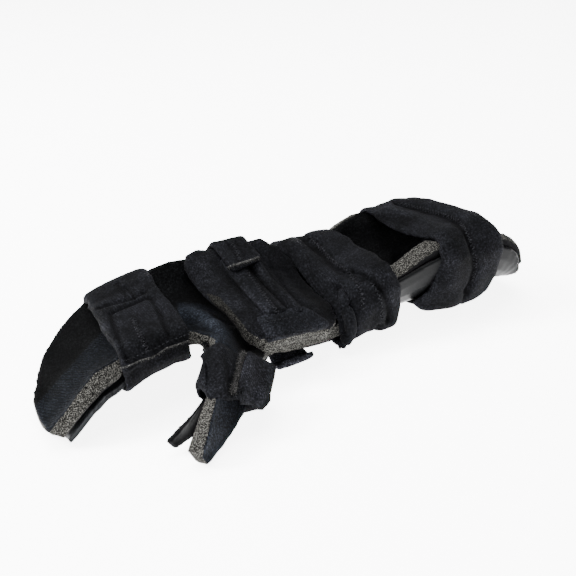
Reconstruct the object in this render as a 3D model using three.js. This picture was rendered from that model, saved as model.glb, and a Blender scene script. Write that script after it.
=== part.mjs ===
// A resting splint for the right wrist, hand and thumb: a thin plastic trough with a foam liner,
// a padded cover over the back of the hand, and soft straps that wrap round both.
// Millimetres, +Z up. The fingers point along -X, the thumb side faces -Y, and the origin lies
// on the surface that the splint rests on, under the middle of the forearm strap.
import * as THREE from "three";

// Trough
const BRACE_LENGTH = 375;
const HALF_WIDTH = 40;
const WALL_RISE = 44;
const FOAM_THICK = 9.5;
const SHELL_THICK = 3;
const SHELL_GAP = 1.1;
const EDGE_SETBACK = 4.5;

// Thumb tongue
const THUMB_LENGTH = 98;
const THUMB_WIDTH = 28;
const THUMB_CUP = 3.5;
const TIP_SWING_X = -16;
const TIP_SWING_Y = 10;
const TIP_SWING_Z = -4.5;
const TIP_GAP = 1.5;

// Straps; a PLACE is a share of the brace's length
const STRAP_THICK = 5;
const STRAP_SQUASH = 2.5;
const THIN_STRAP = 3.4;
const FOREARM_STRAP_WIDTH = 51;
const WRIST_STRAP_WIDTH = 50;
const WRIST_STRAP_PLACE = -0.227;
const FINGER_STRAP_WIDTH = 47;
const FINGER_STRAP_PLACE = -0.643;
const FINGER_STRAP_SLANT = 4;
const HAND_STRAP_WIDTH = 27;
const HAND_STRAP_PLACE = -0.411;
const HAND_STRAP_SHIFT = 12;
const THUMB_STRAP_WIDTH = 27;
const THUMB_STRAP_START = 26;
const STRAP_SAG = 5;
const SAG_SHARE = 0.9;
const SLACK_Y = 43;
const SLACK_Z = 11;
const CLEARANCE = 0.4;

// Cover over the back of the hand
const PAD_LENGTH = 73;
const PAD_PLACE = -0.397;
const PAD_THICK = 9.5;
const PAD_HALF_WIDTH = 54;
const PAD_TOP = 62;
const PAD_CORNER = 13;
const PATCH_THICK = 2.4;
const FLAP_HEIGHT = 15;
const FLAP_FLARE = 13;
const HAND_STRAP_START = 0.8;
const HAND_STRAP_END = 0.5;

// Facets
const ACROSS = 6;
const ROW_STEP = 12;
const TURN_REACH = 25;
const TONGUE_STEPS = 8;
const PAD_ROWS = 14;

const WRIST_STRAP_X = WRIST_STRAP_PLACE * BRACE_LENGTH;
const FINGER_STRAP_X = FINGER_STRAP_PLACE * BRACE_LENGTH;
const HAND_STRAP_X = HAND_STRAP_PLACE * BRACE_LENGTH;
const PAD_X = PAD_PLACE * BRACE_LENGTH;
const FLOOR_Z = FOAM_THICK + SHELL_GAP + SHELL_THICK + CLEARANCE + STRAP_THICK - STRAP_SQUASH;

// Sections of the cloth face, from the fingertips to the forearm end.
// x is a share of BRACE_LENGTH, y of HALF_WIDTH and z of WALL_RISE above the forearm's floor,
// for the thumb-side rim, the floor line and the little-finger-side rim.
// turn is how far the wall has bent up at the rim, in degrees. The thumb tongue grows from the
// near rim between the two marked sections.
const SECTIONS = [
  { nearX: -0.842, nearY: -1.22, nearZ: -0.015, floorX: -0.839, floorY: -0.79, floorZ: -0.06,
    farX: -0.835, farY: -0.34, farZ: -0.05, turn: 40 },
  { nearX: -0.822, nearY: -1.26, nearZ: 0.215, floorX: -0.812, floorY: -0.39, floorZ: -0.006,
    farX: -0.808, farY: 0.11, farZ: 0.018, turn: 45 },
  { nearX: -0.795, nearY: -1.262, nearZ: 0.436, floorX: -0.782, floorY: -0.162, floorZ: 0.126,
    farX: -0.783, farY: 0.389, farZ: 0.176, turn: 50 },
  { nearX: -0.761, nearY: -1.205, nearZ: 0.599, floorX: -0.752, floorY: -0.035, floorZ: 0.239,
    farX: -0.744, farY: 0.645, farZ: 0.309, turn: 55 },
  { nearX: -0.732, nearY: -1.157, nearZ: 0.637, floorX: -0.724, floorY: 0.013, floorZ: 0.337,
    farX: -0.712, farY: 0.773, farZ: 0.487, turn: 55 },
  { nearX: -0.694, nearY: -1.103, nearZ: 0.675, floorX: -0.694, floorY: 0.047, floorZ: 0.435,
    farX: -0.684, farY: 0.827, farZ: 0.625, turn: 50 },
  { nearX: -0.635, nearY: -1.05, nearZ: 0.68, floorX: -0.635, floorY: 0.07, floorZ: 0.5,
    farX: -0.629, farY: 0.85, farZ: 0.72, turn: 50 },
  { nearX: -0.597, nearY: -1.03, nearZ: 0.66, floorX: -0.589, floorY: 0.07, floorZ: 0.52,
    farX: -0.584, farY: 0.85, farZ: 0.81, turn: 50 },
  { nearX: -0.573, nearY: -1.03, nearZ: 0.57, floorX: -0.557, floorY: 0.07, floorZ: 0.52,
    farX: -0.55, farY: 0.84, farZ: 0.86, turn: 50, mark: "web" },
  { nearX: -0.548, nearY: -1.02, nearZ: 0.44, floorX: -0.532, floorY: 0.04, floorZ: 0.49,
    farX: -0.525, farY: 0.83, farZ: 0.88, turn: 50 },
  { nearX: -0.513, nearY: -1.02, nearZ: 0.32, floorX: -0.5, floorY: 0.0, floorZ: 0.43,
    farX: -0.497, farY: 0.85, farZ: 0.86, turn: 52 },
  { nearX: -0.476, nearY: -1.03, nearZ: 0.08, floorX: -0.467, floorY: 0.0, floorZ: 0.35,
    farX: -0.465, farY: 0.87, farZ: 0.85, turn: 55 },
  { nearX: -0.438, nearY: -1.05, nearZ: 0.06, floorX: -0.433, floorY: 0.0, floorZ: 0.26,
    farX: -0.43, farY: 0.89, farZ: 0.85, turn: 58, mark: "thumb base" },
  { nearX: -0.395, nearY: -1.07, nearZ: 0.0, floorX: -0.395, floorY: 0.0, floorZ: 0.18,
    farX: -0.395, farY: 0.9, farZ: 0.85, turn: 62 },
  { nearX: -0.347, nearY: -1.06, nearZ: 0.0, floorX: -0.347, floorY: 0.0, floorZ: 0.09,
    farX: -0.347, farY: 0.91, farZ: 0.8, turn: 68 },
  { nearX: -0.296, nearY: -1.03, nearZ: 0.05, floorX: -0.296, floorY: 0.0, floorZ: 0.03,
    farX: -0.293, farY: 0.92, farZ: 0.69, turn: 74 },
  { nearX: -0.25, nearY: -0.97, nearZ: 0.42, floorX: -0.25, floorY: 0.0, floorZ: 0.01,
    farX: -0.25, farY: 0.92, farZ: 0.63, turn: 80 },
  { nearX: -0.214, nearY: -0.94, nearZ: 0.7, floorX: -0.214, floorY: 0.0, floorZ: 0.0,
    farX: -0.214, farY: 0.92, farZ: 0.62, turn: 84 },
  { nearX: -0.17, nearY: -0.94, nearZ: 0.8, floorX: -0.17, floorY: 0.0, floorZ: 0.0,
    farX: -0.17, farY: 0.93, farZ: 0.7, turn: 86 },
  { nearX: -0.125, nearY: -0.95, nearZ: 0.9, floorX: -0.125, floorY: 0.0, floorZ: 0.0,
    farX: -0.125, farY: 0.96, farZ: 0.82, turn: 86 },
  { nearX: -0.08, nearY: -0.97, nearZ: 0.99, floorX: -0.08, floorY: 0.0, floorZ: 0.0,
    farX: -0.083, farY: 0.99, farZ: 0.86, turn: 86 },
  { nearX: -0.021, nearY: -1.0, nearZ: 1.0, floorX: -0.021, floorY: 0.0, floorZ: 0.0,
    farX: -0.021, farY: 1.0, farZ: 0.85, turn: 86 },
  { nearX: 0.045, nearY: -1.03, nearZ: 0.98, floorX: 0.045, floorY: 0.0, floorZ: 0.0,
    farX: 0.045, farY: 1.02, farZ: 0.84, turn: 85 },
  { nearX: 0.1, nearY: -1.04, nearZ: 0.86, floorX: 0.1, floorY: 0.0, floorZ: 0.0,
    farX: 0.1, farY: 1.03, farZ: 0.77, turn: 83 },
  { nearX: 0.139, nearY: -1.02, nearZ: 0.62, floorX: 0.139, floorY: 0.0, floorZ: 0.0,
    farX: 0.139, farY: 1.01, farZ: 0.62, turn: 78 },
  { nearX: 0.158, nearY: -0.96, nearZ: 0.38, floorX: 0.158, floorY: 0.0, floorZ: 0.0,
    farX: 0.158, farY: 0.95, farZ: 0.38, turn: 68 },
  { nearX: 0.165, nearY: -0.8, nearZ: 0.2, floorX: 0.165, floorY: 0.0, floorZ: 0.01,
    farX: 0.165, farY: 0.8, farZ: 0.2, turn: 52 },
];
const WEB_SECTION = SECTIONS.findIndex((s) => s.mark === "web");
const THUMB_SECTION = SECTIONS.findIndex((s) => s.mark === "thumb base");

// Centre line of the thumb tongue from the rim of the palm, in shares of THUMB_LENGTH,
// its width as a share of THUMB_WIDTH, and the lean of its upper edge off the X axis, in degrees.
const TONGUE = [
  { along: 0.14, x: -0.06, y: -0.14, z: 0.0, width: 1.3, lean: 22 },
  { along: 0.3, x: -0.14, y: -0.29, z: 0.0, width: 1.04, lean: 38 },
  { along: 0.5, x: -0.25, y: -0.44, z: -0.04, width: 0.98, lean: 50 },
  { along: 0.75, x: -0.41, y: -0.6, z: -0.13, width: 0.82, lean: 58 },
  { along: 0.92, x: -0.52, y: -0.7, z: -0.175, width: 0.56, lean: 62 },
  { along: 1.0, x: -0.57, y: -0.745, z: -0.203, width: 0.42, lean: 64 },
];

// Thickness across a strap's width, as shares of its width and of its full thickness:
// two padded ridges beside a stitched groove, and a flat strap with a fine seam.
const PADDED_PROFILE = [
  { across: 0.0, thick: 0.5 },
  { across: 0.07, thick: 0.92 },
  { across: 0.27, thick: 1.0 },
  { across: 0.46, thick: 0.74 },
  { across: 0.54, thick: 0.74 },
  { across: 0.74, thick: 1.0 },
  { across: 0.93, thick: 0.92 },
  { across: 1.0, thick: 0.5 },
];
const FLAT_PROFILE = [
  { across: 0.0, thick: 0.6 },
  { across: 0.06, thick: 1.0 },
  { across: 0.28, thick: 1.0 },
  { across: 0.5, thick: 1.0 },
  { across: 0.72, thick: 1.0 },
  { across: 0.94, thick: 1.0 },
  { across: 1.0, thick: 0.6 },
];

// How the points of a ring round the body are shared out. Each span runs on until the ring faces
// a direction, in degrees from straight down.
const RING_SPANS = [
  { facing: 45, points: 7 },
  { facing: 135, points: 8 },
  { facing: 225, points: 14 },
  { facing: 315, points: 8 },
  { facing: 360, points: 7 },
];

// The cover's upper face at its finger edge and its wrist edge: y as a share of PAD_HALF_WIDTH,
// z as a share of PAD_TOP, from the thumb side across the hand.
const PAD_ARCH = [
  { fingerY: -1.11, fingerZ: 0.58, wristY: -0.98, wristZ: 0.43 },
  { fingerY: -0.97, fingerZ: 0.67, wristY: -0.84, wristZ: 0.53 },
  { fingerY: -0.65, fingerZ: 0.75, wristY: -0.52, wristZ: 0.56 },
  { fingerY: -0.25, fingerZ: 0.81, wristY: -0.15, wristZ: 0.58 },
  { fingerY: 0.1, fingerZ: 0.88, wristY: 0.18, wristZ: 0.69 },
  { fingerY: 0.36, fingerZ: 0.955, wristY: 0.38, wristZ: 0.85 },
  { fingerY: 0.54, fingerZ: 1.03, wristY: 0.54, wristZ: 1.01 },
];

const degrees = (angle) => (angle * Math.PI) / 180;
const mix = THREE.MathUtils.lerp;

// Value of a table column at a place between its rows.
function columnAt(table, key, name, place) {
  const last = table.length - 1;
  if (place <= table[0][key]) return table[0][name];
  if (place >= table[last][key]) return table[last][name];
  const i = table.findIndex((row) => row[key] > place) - 1;
  const share = (place - table[i][key]) / (table[i + 1][key] - table[i][key]);
  return mix(table[i][name], table[i + 1][name], share);
}

// Smooth curves through the rims and the floor line of all sections.
function edgeCurve(side) {
  const points = SECTIONS.map(
    (s) =>
      new THREE.Vector3(
        s[side + "X"] * BRACE_LENGTH,
        s[side + "Y"] * HALF_WIDTH,
        s[side + "Z"] * WALL_RISE + FLOOR_Z,
      ),
  );
  return new THREE.CatmullRomCurve3(points, false, "centripetal");
}
const nearRim = edgeCurve("near");
const floorLine = edgeCurve("floor");
const farRim = edgeCurve("far");

// One section of the cloth face, from the thumb side to the far side, at a place counted in
// table rows. Each half is a piece of an ellipse that starts level at the floor line.
function sectionAt(place) {
  const share = place / (SECTIONS.length - 1);
  const floor = floorLine.getPoint(share);
  const lower = SECTIONS[Math.floor(place)].turn;
  const upper = SECTIONS[Math.min(Math.ceil(place), SECTIONS.length - 1)].turn;
  const turn = degrees(mix(lower, upper, place % 1));
  const half = (rim, step) => {
    const angle = (turn * step) / ACROSS;
    const out = Math.sin(angle) / Math.sin(turn);
    const rise = (1 - Math.cos(angle)) / (1 - Math.cos(turn));
    return new THREE.Vector3(
      mix(floor.x, rim.x, out),
      mix(floor.y, rim.y, out),
      mix(floor.z, rim.z, rise),
    );
  };
  const near = nearRim.getPoint(share);
  const far = farRim.getPoint(share);
  const points = [];
  for (let i = ACROSS; i > 0; i--) points.push(half(near, i));
  points.push(floor);
  for (let i = 1; i <= ACROSS; i++) points.push(half(far, i));
  return points;
}

// Places of the rows: every table row, and one between two that lie far apart.
function rowPlaces() {
  const places = [0];
  for (let i = 1; i < SECTIONS.length; i++) {
    const span = Math.abs(SECTIONS[i].floorX - SECTIONS[i - 1].floorX) * BRACE_LENGTH;
    if (span > ROW_STEP) places.push(i - 0.5);
    places.push(i);
  }
  return places;
}

// Pulls one or both ends of a row of points in along it, keeping its number of points.
function trimmed(points, setback, trimStart) {
  const line = new THREE.CurvePath();
  for (let i = 1; i < points.length; i++) line.add(new THREE.LineCurve3(points[i - 1], points[i]));
  const share = setback / line.getLength();
  const start = trimStart ? share : 0;
  return points.map((_, i) => line.getPoint(mix(start, 1 - share, i / (points.length - 1))));
}

// The thumb tongue's centre line and cross axes: edge points to its upper edge and face out of
// its cloth side. root is the middle of the palm's rim between the web and the thumb's base.
function tongueFrames(root) {
  const centres = TONGUE.map((t) =>
    new THREE.Vector3(t.x, t.y, t.z).multiplyScalar(THUMB_LENGTH).add(root),
  );
  const line = new THREE.CatmullRomCurve3([root, ...centres], false, "centripetal");
  return (along) => {
    const at = (name) => columnAt(TONGUE, "along", name, along);
    const forward = line.getTangentAt(along);
    const lean = degrees(at("lean"));
    const edge = new THREE.Vector3(-Math.cos(lean), 0, Math.sin(lean));
    edge.addScaledVector(forward, -edge.dot(forward)).normalize();
    const face = edge.clone().cross(forward);
    return { centre: line.getPointAt(along), forward, edge, face, half: (at("width") * THUMB_WIDTH) / 2 };
  };
}

const tipSwing = new THREE.Vector3(TIP_SWING_X, TIP_SWING_Y, TIP_SWING_Z);

// Rows of the thumb tongue: for each row of the palm between the web and the thumb's base,
// points from the rim out to the tip. swing is how much the tip swings back off the foam.
function tongueRows(rootPoints, setback, swing) {
  const last = rootPoints.length - 1;
  const frameAt = tongueFrames(rootPoints[0].clone().lerp(rootPoints[last], 0.5));
  const rows = rootPoints.map(() => []);
  for (let k = 1; k <= TONGUE_STEPS; k++) {
    const along = (k / TONGUE_STEPS) * (1 - setback / THUMB_LENGTH);
    const { centre, edge, face, half } = frameAt(along);
    const reach = Math.max(half - setback * along, 1);
    const cup = THUMB_CUP * Math.min(1, 2 * along) * ((2 * reach) / THUMB_WIDTH) ** 2;
    rootPoints.forEach((_, i) => {
      const side = 1 - (2 * i) / last;
      const point = centre.clone().addScaledVector(edge, side * reach);
      point.addScaledVector(face, cup * (side * side - 0.5));
      point.addScaledVector(tipSwing, swing * along * along);
      rows[i].push(point);
    });
  }
  return rows;
}

// The whole cloth face, or one set back from its edges: points and the quads between them.
function facePatch(setback, swing) {
  const places = rowPlaces();
  const endShift = setback / ROW_STEP;
  const rows = places.map((place, i) => {
    const shifted = i === 0 ? endShift : i === places.length - 1 ? place - endShift : place;
    const points = sectionAt(shifted);
    const inThumb = place >= WEB_SECTION && place <= THUMB_SECTION;
    return setback > 0 ? trimmed(points, setback, !inThumb) : points;
  });
  const first = places.indexOf(WEB_SECTION);
  const last = places.indexOf(THUMB_SECTION);
  const roots = rows.slice(first, last + 1).map((row) => row[0]);
  const tongue = tongueRows(roots, setback, swing);
  const points = [];
  const index = rows.map((row, i) => {
    const inThumb = i >= first && i <= last;
    const beyond = inThumb ? tongue[i - first].slice().reverse() : [];
    const start = points.length;
    points.push(...beyond, ...row);
    return { start, root: start + beyond.length, beyond: beyond.length, count: row.length };
  });
  const quads = [];
  for (let i = 1; i < rows.length; i++) {
    const a = index[i - 1];
    const b = index[i];
    const beyond = Math.min(a.beyond, b.beyond);
    for (let j = -beyond; j < a.count - 1; j++) {
      quads.push([a.root + j, b.root + j, b.root + j + 1, a.root + j + 1]);
    }
  }
  return { points, quads, rows, index, first, last };
}

// Unit normals of a patch's points, on its cloth side.
function patchNormals({ points, quads }) {
  const normals = points.map(() => new THREE.Vector3());
  for (const [a, b, c, d] of quads) {
    const across = points[c].clone().sub(points[a]);
    const other = points[d].clone().sub(points[b]);
    const normal = across.cross(other);
    for (const i of [a, b, c, d]) normals[i].add(normal);
  }
  return normals.map((n) => n.normalize());
}

// The patch's points moved off the cloth side, each by its own depth.
function offsetPoints(patch, depthOf) {
  const normals = patchNormals(patch);
  return patch.points.map((p, i) => p.clone().addScaledVector(normals[i], -depthOf(p)));
}

// The quads of the trough alone, without the thumb tongue.
function troughOnly(patch) {
  const beyond = new Set();
  for (const row of patch.index) {
    for (let i = row.start; i < row.root; i++) beyond.add(i);
  }
  return patch.quads.filter((quad) => !quad.some((i) => beyond.has(i)));
}

// Closed body between two copies of a patch: top points, bottom points and shared quads.
function slabGeometry(top, bottom, quads) {
  const n = top.length;
  const faces = [];
  const edges = new Map();
  for (const quad of quads) {
    const [a, b, c, d] = quad;
    faces.push([a, b, c], [a, c, d]);
    faces.push([c + n, b + n, a + n], [d + n, c + n, a + n]);
    quad.forEach((from, i) => {
      const to = quad[(i + 1) % 4];
      if (!edges.delete(to + "," + from)) edges.set(from + "," + to, [from, to]);
    });
  }
  for (const [from, to] of edges.values()) {
    faces.push([to, from, from + n], [to, from + n, to + n]);
  }
  return meshGeometry([...top, ...bottom], faces);
}

function meshGeometry(points, faces) {
  const geometry = new THREE.BufferGeometry();
  const flat = points.flatMap((p) => [p.x, p.y, p.z]);
  geometry.setAttribute("position", new THREE.Float32BufferAttribute(flat, 3));
  geometry.setIndex(faces.flat());
  geometry.computeVertexNormals();
  return geometry;
}

// Points of faces within reach of a plane, as 2D points on the plane's two axes: their corners
// there, and the crossings of their lines with the plane and with its two neighbours.
function slice(faces, { origin, normal, right, up }, reach) {
  const found = [];
  const keep = (point) => found.push(new THREE.Vector2(point.dot(right), point.dot(up)));
  for (const { points, quads } of faces) {
    const local = points.map((p) => p.clone().sub(origin));
    const height = local.map((p) => p.dot(normal));
    for (const [a, b, c, d] of quads) {
      for (const [from, to] of [[a, b], [b, c], [c, d], [d, a], [a, c]]) {
        if (Math.abs(height[from]) < reach) keep(local[from]);
        for (const level of [-reach, 0, reach]) {
          const share = (level - height[from]) / (height[to] - height[from]);
          if (share > 0 && share < 1) keep(local[from].clone().lerp(local[to], share));
        }
      }
    }
  }
  return found;
}

// Convex outline of 2D points, counter-clockwise.
function convexOutline(points) {
  const sorted = points.slice().sort((a, b) => a.x - b.x || a.y - b.y);
  const turn = (o, a, b) => (a.x - o.x) * (b.y - o.y) - (a.y - o.y) * (b.x - o.x);
  const half = (list) => {
    const chain = [];
    for (const p of list) {
      while (chain.length > 1 && turn(chain[chain.length - 2], chain[chain.length - 1], p) <= 1e-9) {
        chain.pop();
      }
      chain.push(p);
    }
    chain.pop();
    return chain;
  };
  return [...half(sorted), ...half(sorted.reverse())];
}

// The outline moved outwards with round corners, from its lowest middle round to there again.
// The third coordinate of a point is the direction it faces, in radians from straight down.
function roundedOutline(outline, radius) {
  const n = outline.length;
  const points = [];
  outline.forEach((p, i) => {
    const before = outline[(i + n - 1) % n];
    const after = outline[(i + 1) % n];
    let start = Math.atan2(-(p.x - before.x), p.y - before.y);
    if (i > 0 && start < points[0].z - Math.PI / 2) start += 2 * Math.PI;
    let end = Math.atan2(-(after.x - p.x), after.y - p.y);
    while (end < start) end += 2 * Math.PI;
    const steps = Math.max(1, Math.ceil((end - start) / degrees(20)));
    for (let k = 0; k <= steps; k++) {
      const angle = mix(start, end, k / steps);
      const offset = new THREE.Vector3(Math.cos(angle), Math.sin(angle), 0).multiplyScalar(radius);
      points.push(offset.add(new THREE.Vector3(p.x, p.y, angle + Math.PI / 2)));
    }
  });
  const middle = (Math.min(...points.map((p) => p.x)) + Math.max(...points.map((p) => p.x))) / 2;
  const turned = points.map((p) => p.clone().setZ(p.z + 2 * Math.PI));
  const twice = [...points, ...turned];
  const at = points.findIndex((p, i) => p.x <= middle && twice[i + 1].x > middle);
  const share = (middle - points[at].x) / (twice[at + 1].x - points[at].x);
  const cut = points[at].clone().lerp(twice[at + 1], share);
  const whole = 2 * Math.PI * Math.round(cut.z / (2 * Math.PI));
  const round = [cut, ...twice.slice(at + 1, at + 1 + points.length)];
  round.push(cut.clone().setZ(cut.z + 2 * Math.PI));
  return round.map((p) => p.setZ(p.z - whole));
}

// Reach of each point along a rounded outline: its length so far and a share for the turns.
function reaches(line) {
  const out = [0];
  for (let i = 1; i < line.length; i++) {
    const span = Math.hypot(line[i].x - line[i - 1].x, line[i].y - line[i - 1].y);
    out.push(out[i - 1] + span + TURN_REACH * Math.abs(line[i].z - line[i - 1].z));
  }
  return out;
}

// Points spaced evenly by reach along a rounded outline, between two shares of all its reach.
function spaced(line, count, from, to) {
  const reach = reaches(line);
  const total = reach[reach.length - 1];
  const out = [];
  for (let k = 0; k < count; k++) {
    const wanted = total * mix(from, to, k / (count - 1));
    let i = 1;
    while (i < line.length - 1 && reach[i] < wanted) i++;
    const span = reach[i] - reach[i - 1] || 1;
    out.push(line[i - 1].clone().lerp(line[i], (wanted - reach[i - 1]) / span));
  }
  return out;
}

// The points of one ring, shared out over its spans.
function ringPoints(line) {
  const reach = reaches(line);
  const shareFacing = (facing) => {
    const i = line.findIndex((p) => p.z >= degrees(facing));
    if (i < 1) return i < 0 ? 1 : 0;
    const share = (degrees(facing) - line[i - 1].z) / (line[i].z - line[i - 1].z || 1);
    return mix(reach[i - 1], reach[i], share) / reach[reach.length - 1];
  };
  let from = 0;
  return RING_SPANS.flatMap(({ facing, points }, i) => {
    const to = i === RING_SPANS.length - 1 ? 1 : shareFacing(facing);
    const span = spaced(line, points + 1, from, to).slice(0, -1);
    from = to;
    return span;
  });
}

// Closed body of a strap: rings of inner and outer 3D points, one pair for each row across its
// width. A loop joins its ends, and a strip has end faces.
function strapGeometry(inner, outer, isLoop) {
  const rows = inner.length;
  const count = inner[0].length;
  const points = [...inner.flat(), ...outer.flat()];
  const at = (layer, row, i) => (layer * rows + row) * count + (i % count);
  const faces = [];
  const quad = (a, b, c, d) => faces.push([a, c, b], [a, d, c]);
  const last = isLoop ? count : count - 1;
  for (let i = 0; i < last; i++) {
    for (let r = 1; r < rows; r++) {
      quad(at(0, r - 1, i), at(0, r - 1, i + 1), at(0, r, i + 1), at(0, r, i));
      quad(at(1, r, i), at(1, r, i + 1), at(1, r - 1, i + 1), at(1, r - 1, i));
    }
    quad(at(1, 0, i), at(1, 0, i + 1), at(0, 0, i + 1), at(0, 0, i));
    quad(at(0, rows - 1, i), at(0, rows - 1, i + 1), at(1, rows - 1, i + 1), at(1, rows - 1, i));
  }
  for (let r = 1; r < rows && !isLoop; r++) {
    quad(at(1, r - 1, 0), at(0, r - 1, 0), at(0, r, 0), at(1, r, 0));
    quad(at(0, r - 1, last), at(1, r - 1, last), at(1, r, last), at(0, r, last));
  }
  return meshGeometry(points, faces);
}

const loopGeometry = ({ inner, outer }) => strapGeometry(inner, outer, true);

// Inner and outer rings of a loop for each row of its profile. ringOf gives the outline that a
// row wraps and the function that places its 2D points. A lap is a second layer on the outside,
// between two shares of the ring's points.
function loopRows(profile, thick, lap, ringOf) {
  const inner = [];
  const outer = [];
  for (const { across, thick: share } of profile) {
    const { outline, place } = ringOf(across);
    const innerRing = ringPoints(roundedOutline(outline, CLEARANCE));
    const outerRing = ringPoints(roundedOutline(outline, CLEARANCE + thick * share));
    outerRing.forEach((p, i) => {
      const along = i / outerRing.length;
      if (!lap || along < lap.from || along > lap.to) return;
      p.x += lap.thick * Math.sin(p.z);
      p.y -= lap.thick * Math.cos(p.z);
    });
    inner.push(innerRing.map(place));
    outer.push(outerRing.map(place));
  }
  return { inner, outer };
}

// Half of the widest step between the rows of a profile, as a share of the width.
function halfStep(profile) {
  return Math.max(...profile.slice(1).map((row, i) => row.across - profile[i].across)) / 2;
}

const piece = (name, geometry, color, roughness) => {
  const mesh = new THREE.Mesh(
    geometry,
    new THREE.MeshStandardMaterial({ color, roughness, metalness: 0 }),
  );
  mesh.name = name;
  return mesh;
};

// Foam liner and plastic shell

const tipGap = (p) => SHELL_GAP + TIP_GAP * THREE.MathUtils.smoothstep(-p.x / BRACE_LENGTH, 0.7, 0.84);
const clothFace = facePatch(0, 0);
const foamBack = offsetPoints(clothFace, () => FOAM_THICK);
const shellFace = facePatch(EDGE_SETBACK, 1);
const shellTop = offsetPoints(shellFace, (p) => FOAM_THICK + tipGap(p));
const shellBack = offsetPoints(shellFace, (p) => FOAM_THICK + tipGap(p) + SHELL_THICK);

function buildLiner() {
  const geometry = slabGeometry(clothFace.points, foamBack, clothFace.quads);
  return piece("foam_liner", geometry, 0x1b1e26, 0.95);
}

function buildShell() {
  const geometry = slabGeometry(shellTop, shellBack, shellFace.quads);
  return piece("plastic_shell", geometry, 0x6b6e74, 0.45);
}

// Straps round the trough

const troughQuads = troughOnly(clothFace);
const shellTroughQuads = troughOnly(shellFace);
const tongueQuads = clothFace.quads.filter((quad) => !troughQuads.includes(quad));
const shellTongueQuads = shellFace.quads.filter((quad) => !shellTroughQuads.includes(quad));
const bodyFaces = (quads, shellQuads) => [
  { points: clothFace.points, quads },
  { points: foamBack, quads },
  { points: shellBack, quads: shellQuads },
];
const troughFaces = bodyFaces(troughQuads, shellTroughQuads);
const tongueFaces = bodyFaces(tongueQuads, shellTongueQuads);

// Cross-section points of liner and shell near an upright plane, as 2D points (y, z). The plane
// meets the origin's XZ plane at x, and moves along X by the slopes as y and z grow.
function bodyPointsAt(x, reach, slopeY, slopeZ) {
  const plane = {
    origin: new THREE.Vector3(x, 0, 0),
    normal: new THREE.Vector3(1, -slopeY, -slopeZ).normalize(),
    right: new THREE.Vector3(0, 1, 0),
    up: new THREE.Vector3(0, 0, 1),
  };
  return slice(troughFaces, plane, reach);
}

// Rows of rings round the trough. The free span between the rims dips by the sag, which runs
// from one edge of the strap to the other, and slant shifts the far side along X.
function troughRows({ centreX, width, thick, profile, sag, slant = 0, slack = [], lap }) {
  const reach = halfStep(profile) * width;
  return loopRows(profile, thick, lap, (across) => {
    const x = centreX + (across - 0.5) * width;
    const place = (p) => {
      const side = p.x / (SAG_SHARE * HALF_WIDTH);
      const isFree = Math.cos(p.z) < 0 && Math.abs(side) < 1;
      const dip = isFree ? mix(sag[0], sag[1], across) * (1 - side * side) : 0;
      return new THREE.Vector3(x + (slant * p.x) / HALF_WIDTH, p.x, Math.max(p.y - dip, 0));
    };
    const body = bodyPointsAt(x, reach, slant / HALF_WIDTH, 0);
    return { outline: convexOutline([...body, ...slack]), place };
  });
}

// A wide strap hangs off the rounded shell in two loose lower corners.
const slackCorners = [
  new THREE.Vector2(-SLACK_Y, SLACK_Z),
  new THREE.Vector2(SLACK_Y, SLACK_Z),
];

function buildForearmStrap() {
  const rows = troughRows({
    centreX: 0, width: FOREARM_STRAP_WIDTH, thick: STRAP_THICK, profile: PADDED_PROFILE,
    sag: [STRAP_SAG, 0], slack: slackCorners,
  });
  return piece("forearm_strap", loopGeometry(rows), 0x17191f, 0.95);
}

function buildWristStrap() {
  const rows = troughRows({
    centreX: WRIST_STRAP_X, width: WRIST_STRAP_WIDTH, thick: STRAP_THICK,
    profile: PADDED_PROFILE, sag: [0, STRAP_SAG], slack: slackCorners,
  });
  return piece("wrist_strap", loopGeometry(rows), 0x17191f, 0.95);
}

function buildFingerStrap() {
  const rows = troughRows({
    centreX: FINGER_STRAP_X, width: FINGER_STRAP_WIDTH, thick: THIN_STRAP,
    profile: FLAT_PROFILE, sag: [0, 0], slant: FINGER_STRAP_SLANT,
    lap: { from: 0.45, to: 0.72, thick: THIN_STRAP },
  });
  return piece("finger_strap", loopGeometry(rows), 0x17191f, 0.95);
}

// Strap round the thumb tongue

function buildThumbStrap() {
  const { rows: faceRows, first, last } = clothFace;
  const frameAt = tongueFrames(faceRows[first][0].clone().lerp(faceRows[last][0], 0.5));
  const start = THUMB_STRAP_START / THUMB_LENGTH;
  const reach = halfStep(FLAT_PROFILE) * THUMB_STRAP_WIDTH;
  const lap = { from: 0.5, to: 0.82, thick: THIN_STRAP };
  const rows = loopRows(FLAT_PROFILE, THIN_STRAP, lap, (across) => {
    const along = start + ((1 - across) * THUMB_STRAP_WIDTH) / THUMB_LENGTH;
    const { centre, forward, edge, face } = frameAt(along);
    const plane = { origin: centre, normal: forward, right: edge, up: face };
    const place = (p) => centre.clone().addScaledVector(edge, p.x).addScaledVector(face, p.y);
    return { outline: convexOutline(slice(tongueFaces, plane, reach)), place };
  });
  return piece("thumb_strap", loopGeometry(rows), 0x17191f, 0.95);
}

// Cover over the back of the hand

const padCurve = (side) =>
  new THREE.CatmullRomCurve3(
    PAD_ARCH.map(
      (row) => new THREE.Vector3(0, row[side + "Y"] * PAD_HALF_WIDTH, row[side + "Z"] * PAD_TOP),
    ),
    false,
    "centripetal",
  );
const padFinger = padCurve("finger");
const padWrist = padCurve("wrist");
const padSpan = (padFinger.getLength() + padWrist.getLength()) / 2;

// A point of the cover's upper face at x, at a share of the way across the hand.
function padPoint(across, x) {
  const share = (x - PAD_X) / PAD_LENGTH + 0.5;
  const point = padFinger.getPointAt(across).lerp(padWrist.getPointAt(across), share);
  point.x = x;
  return point;
}

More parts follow.
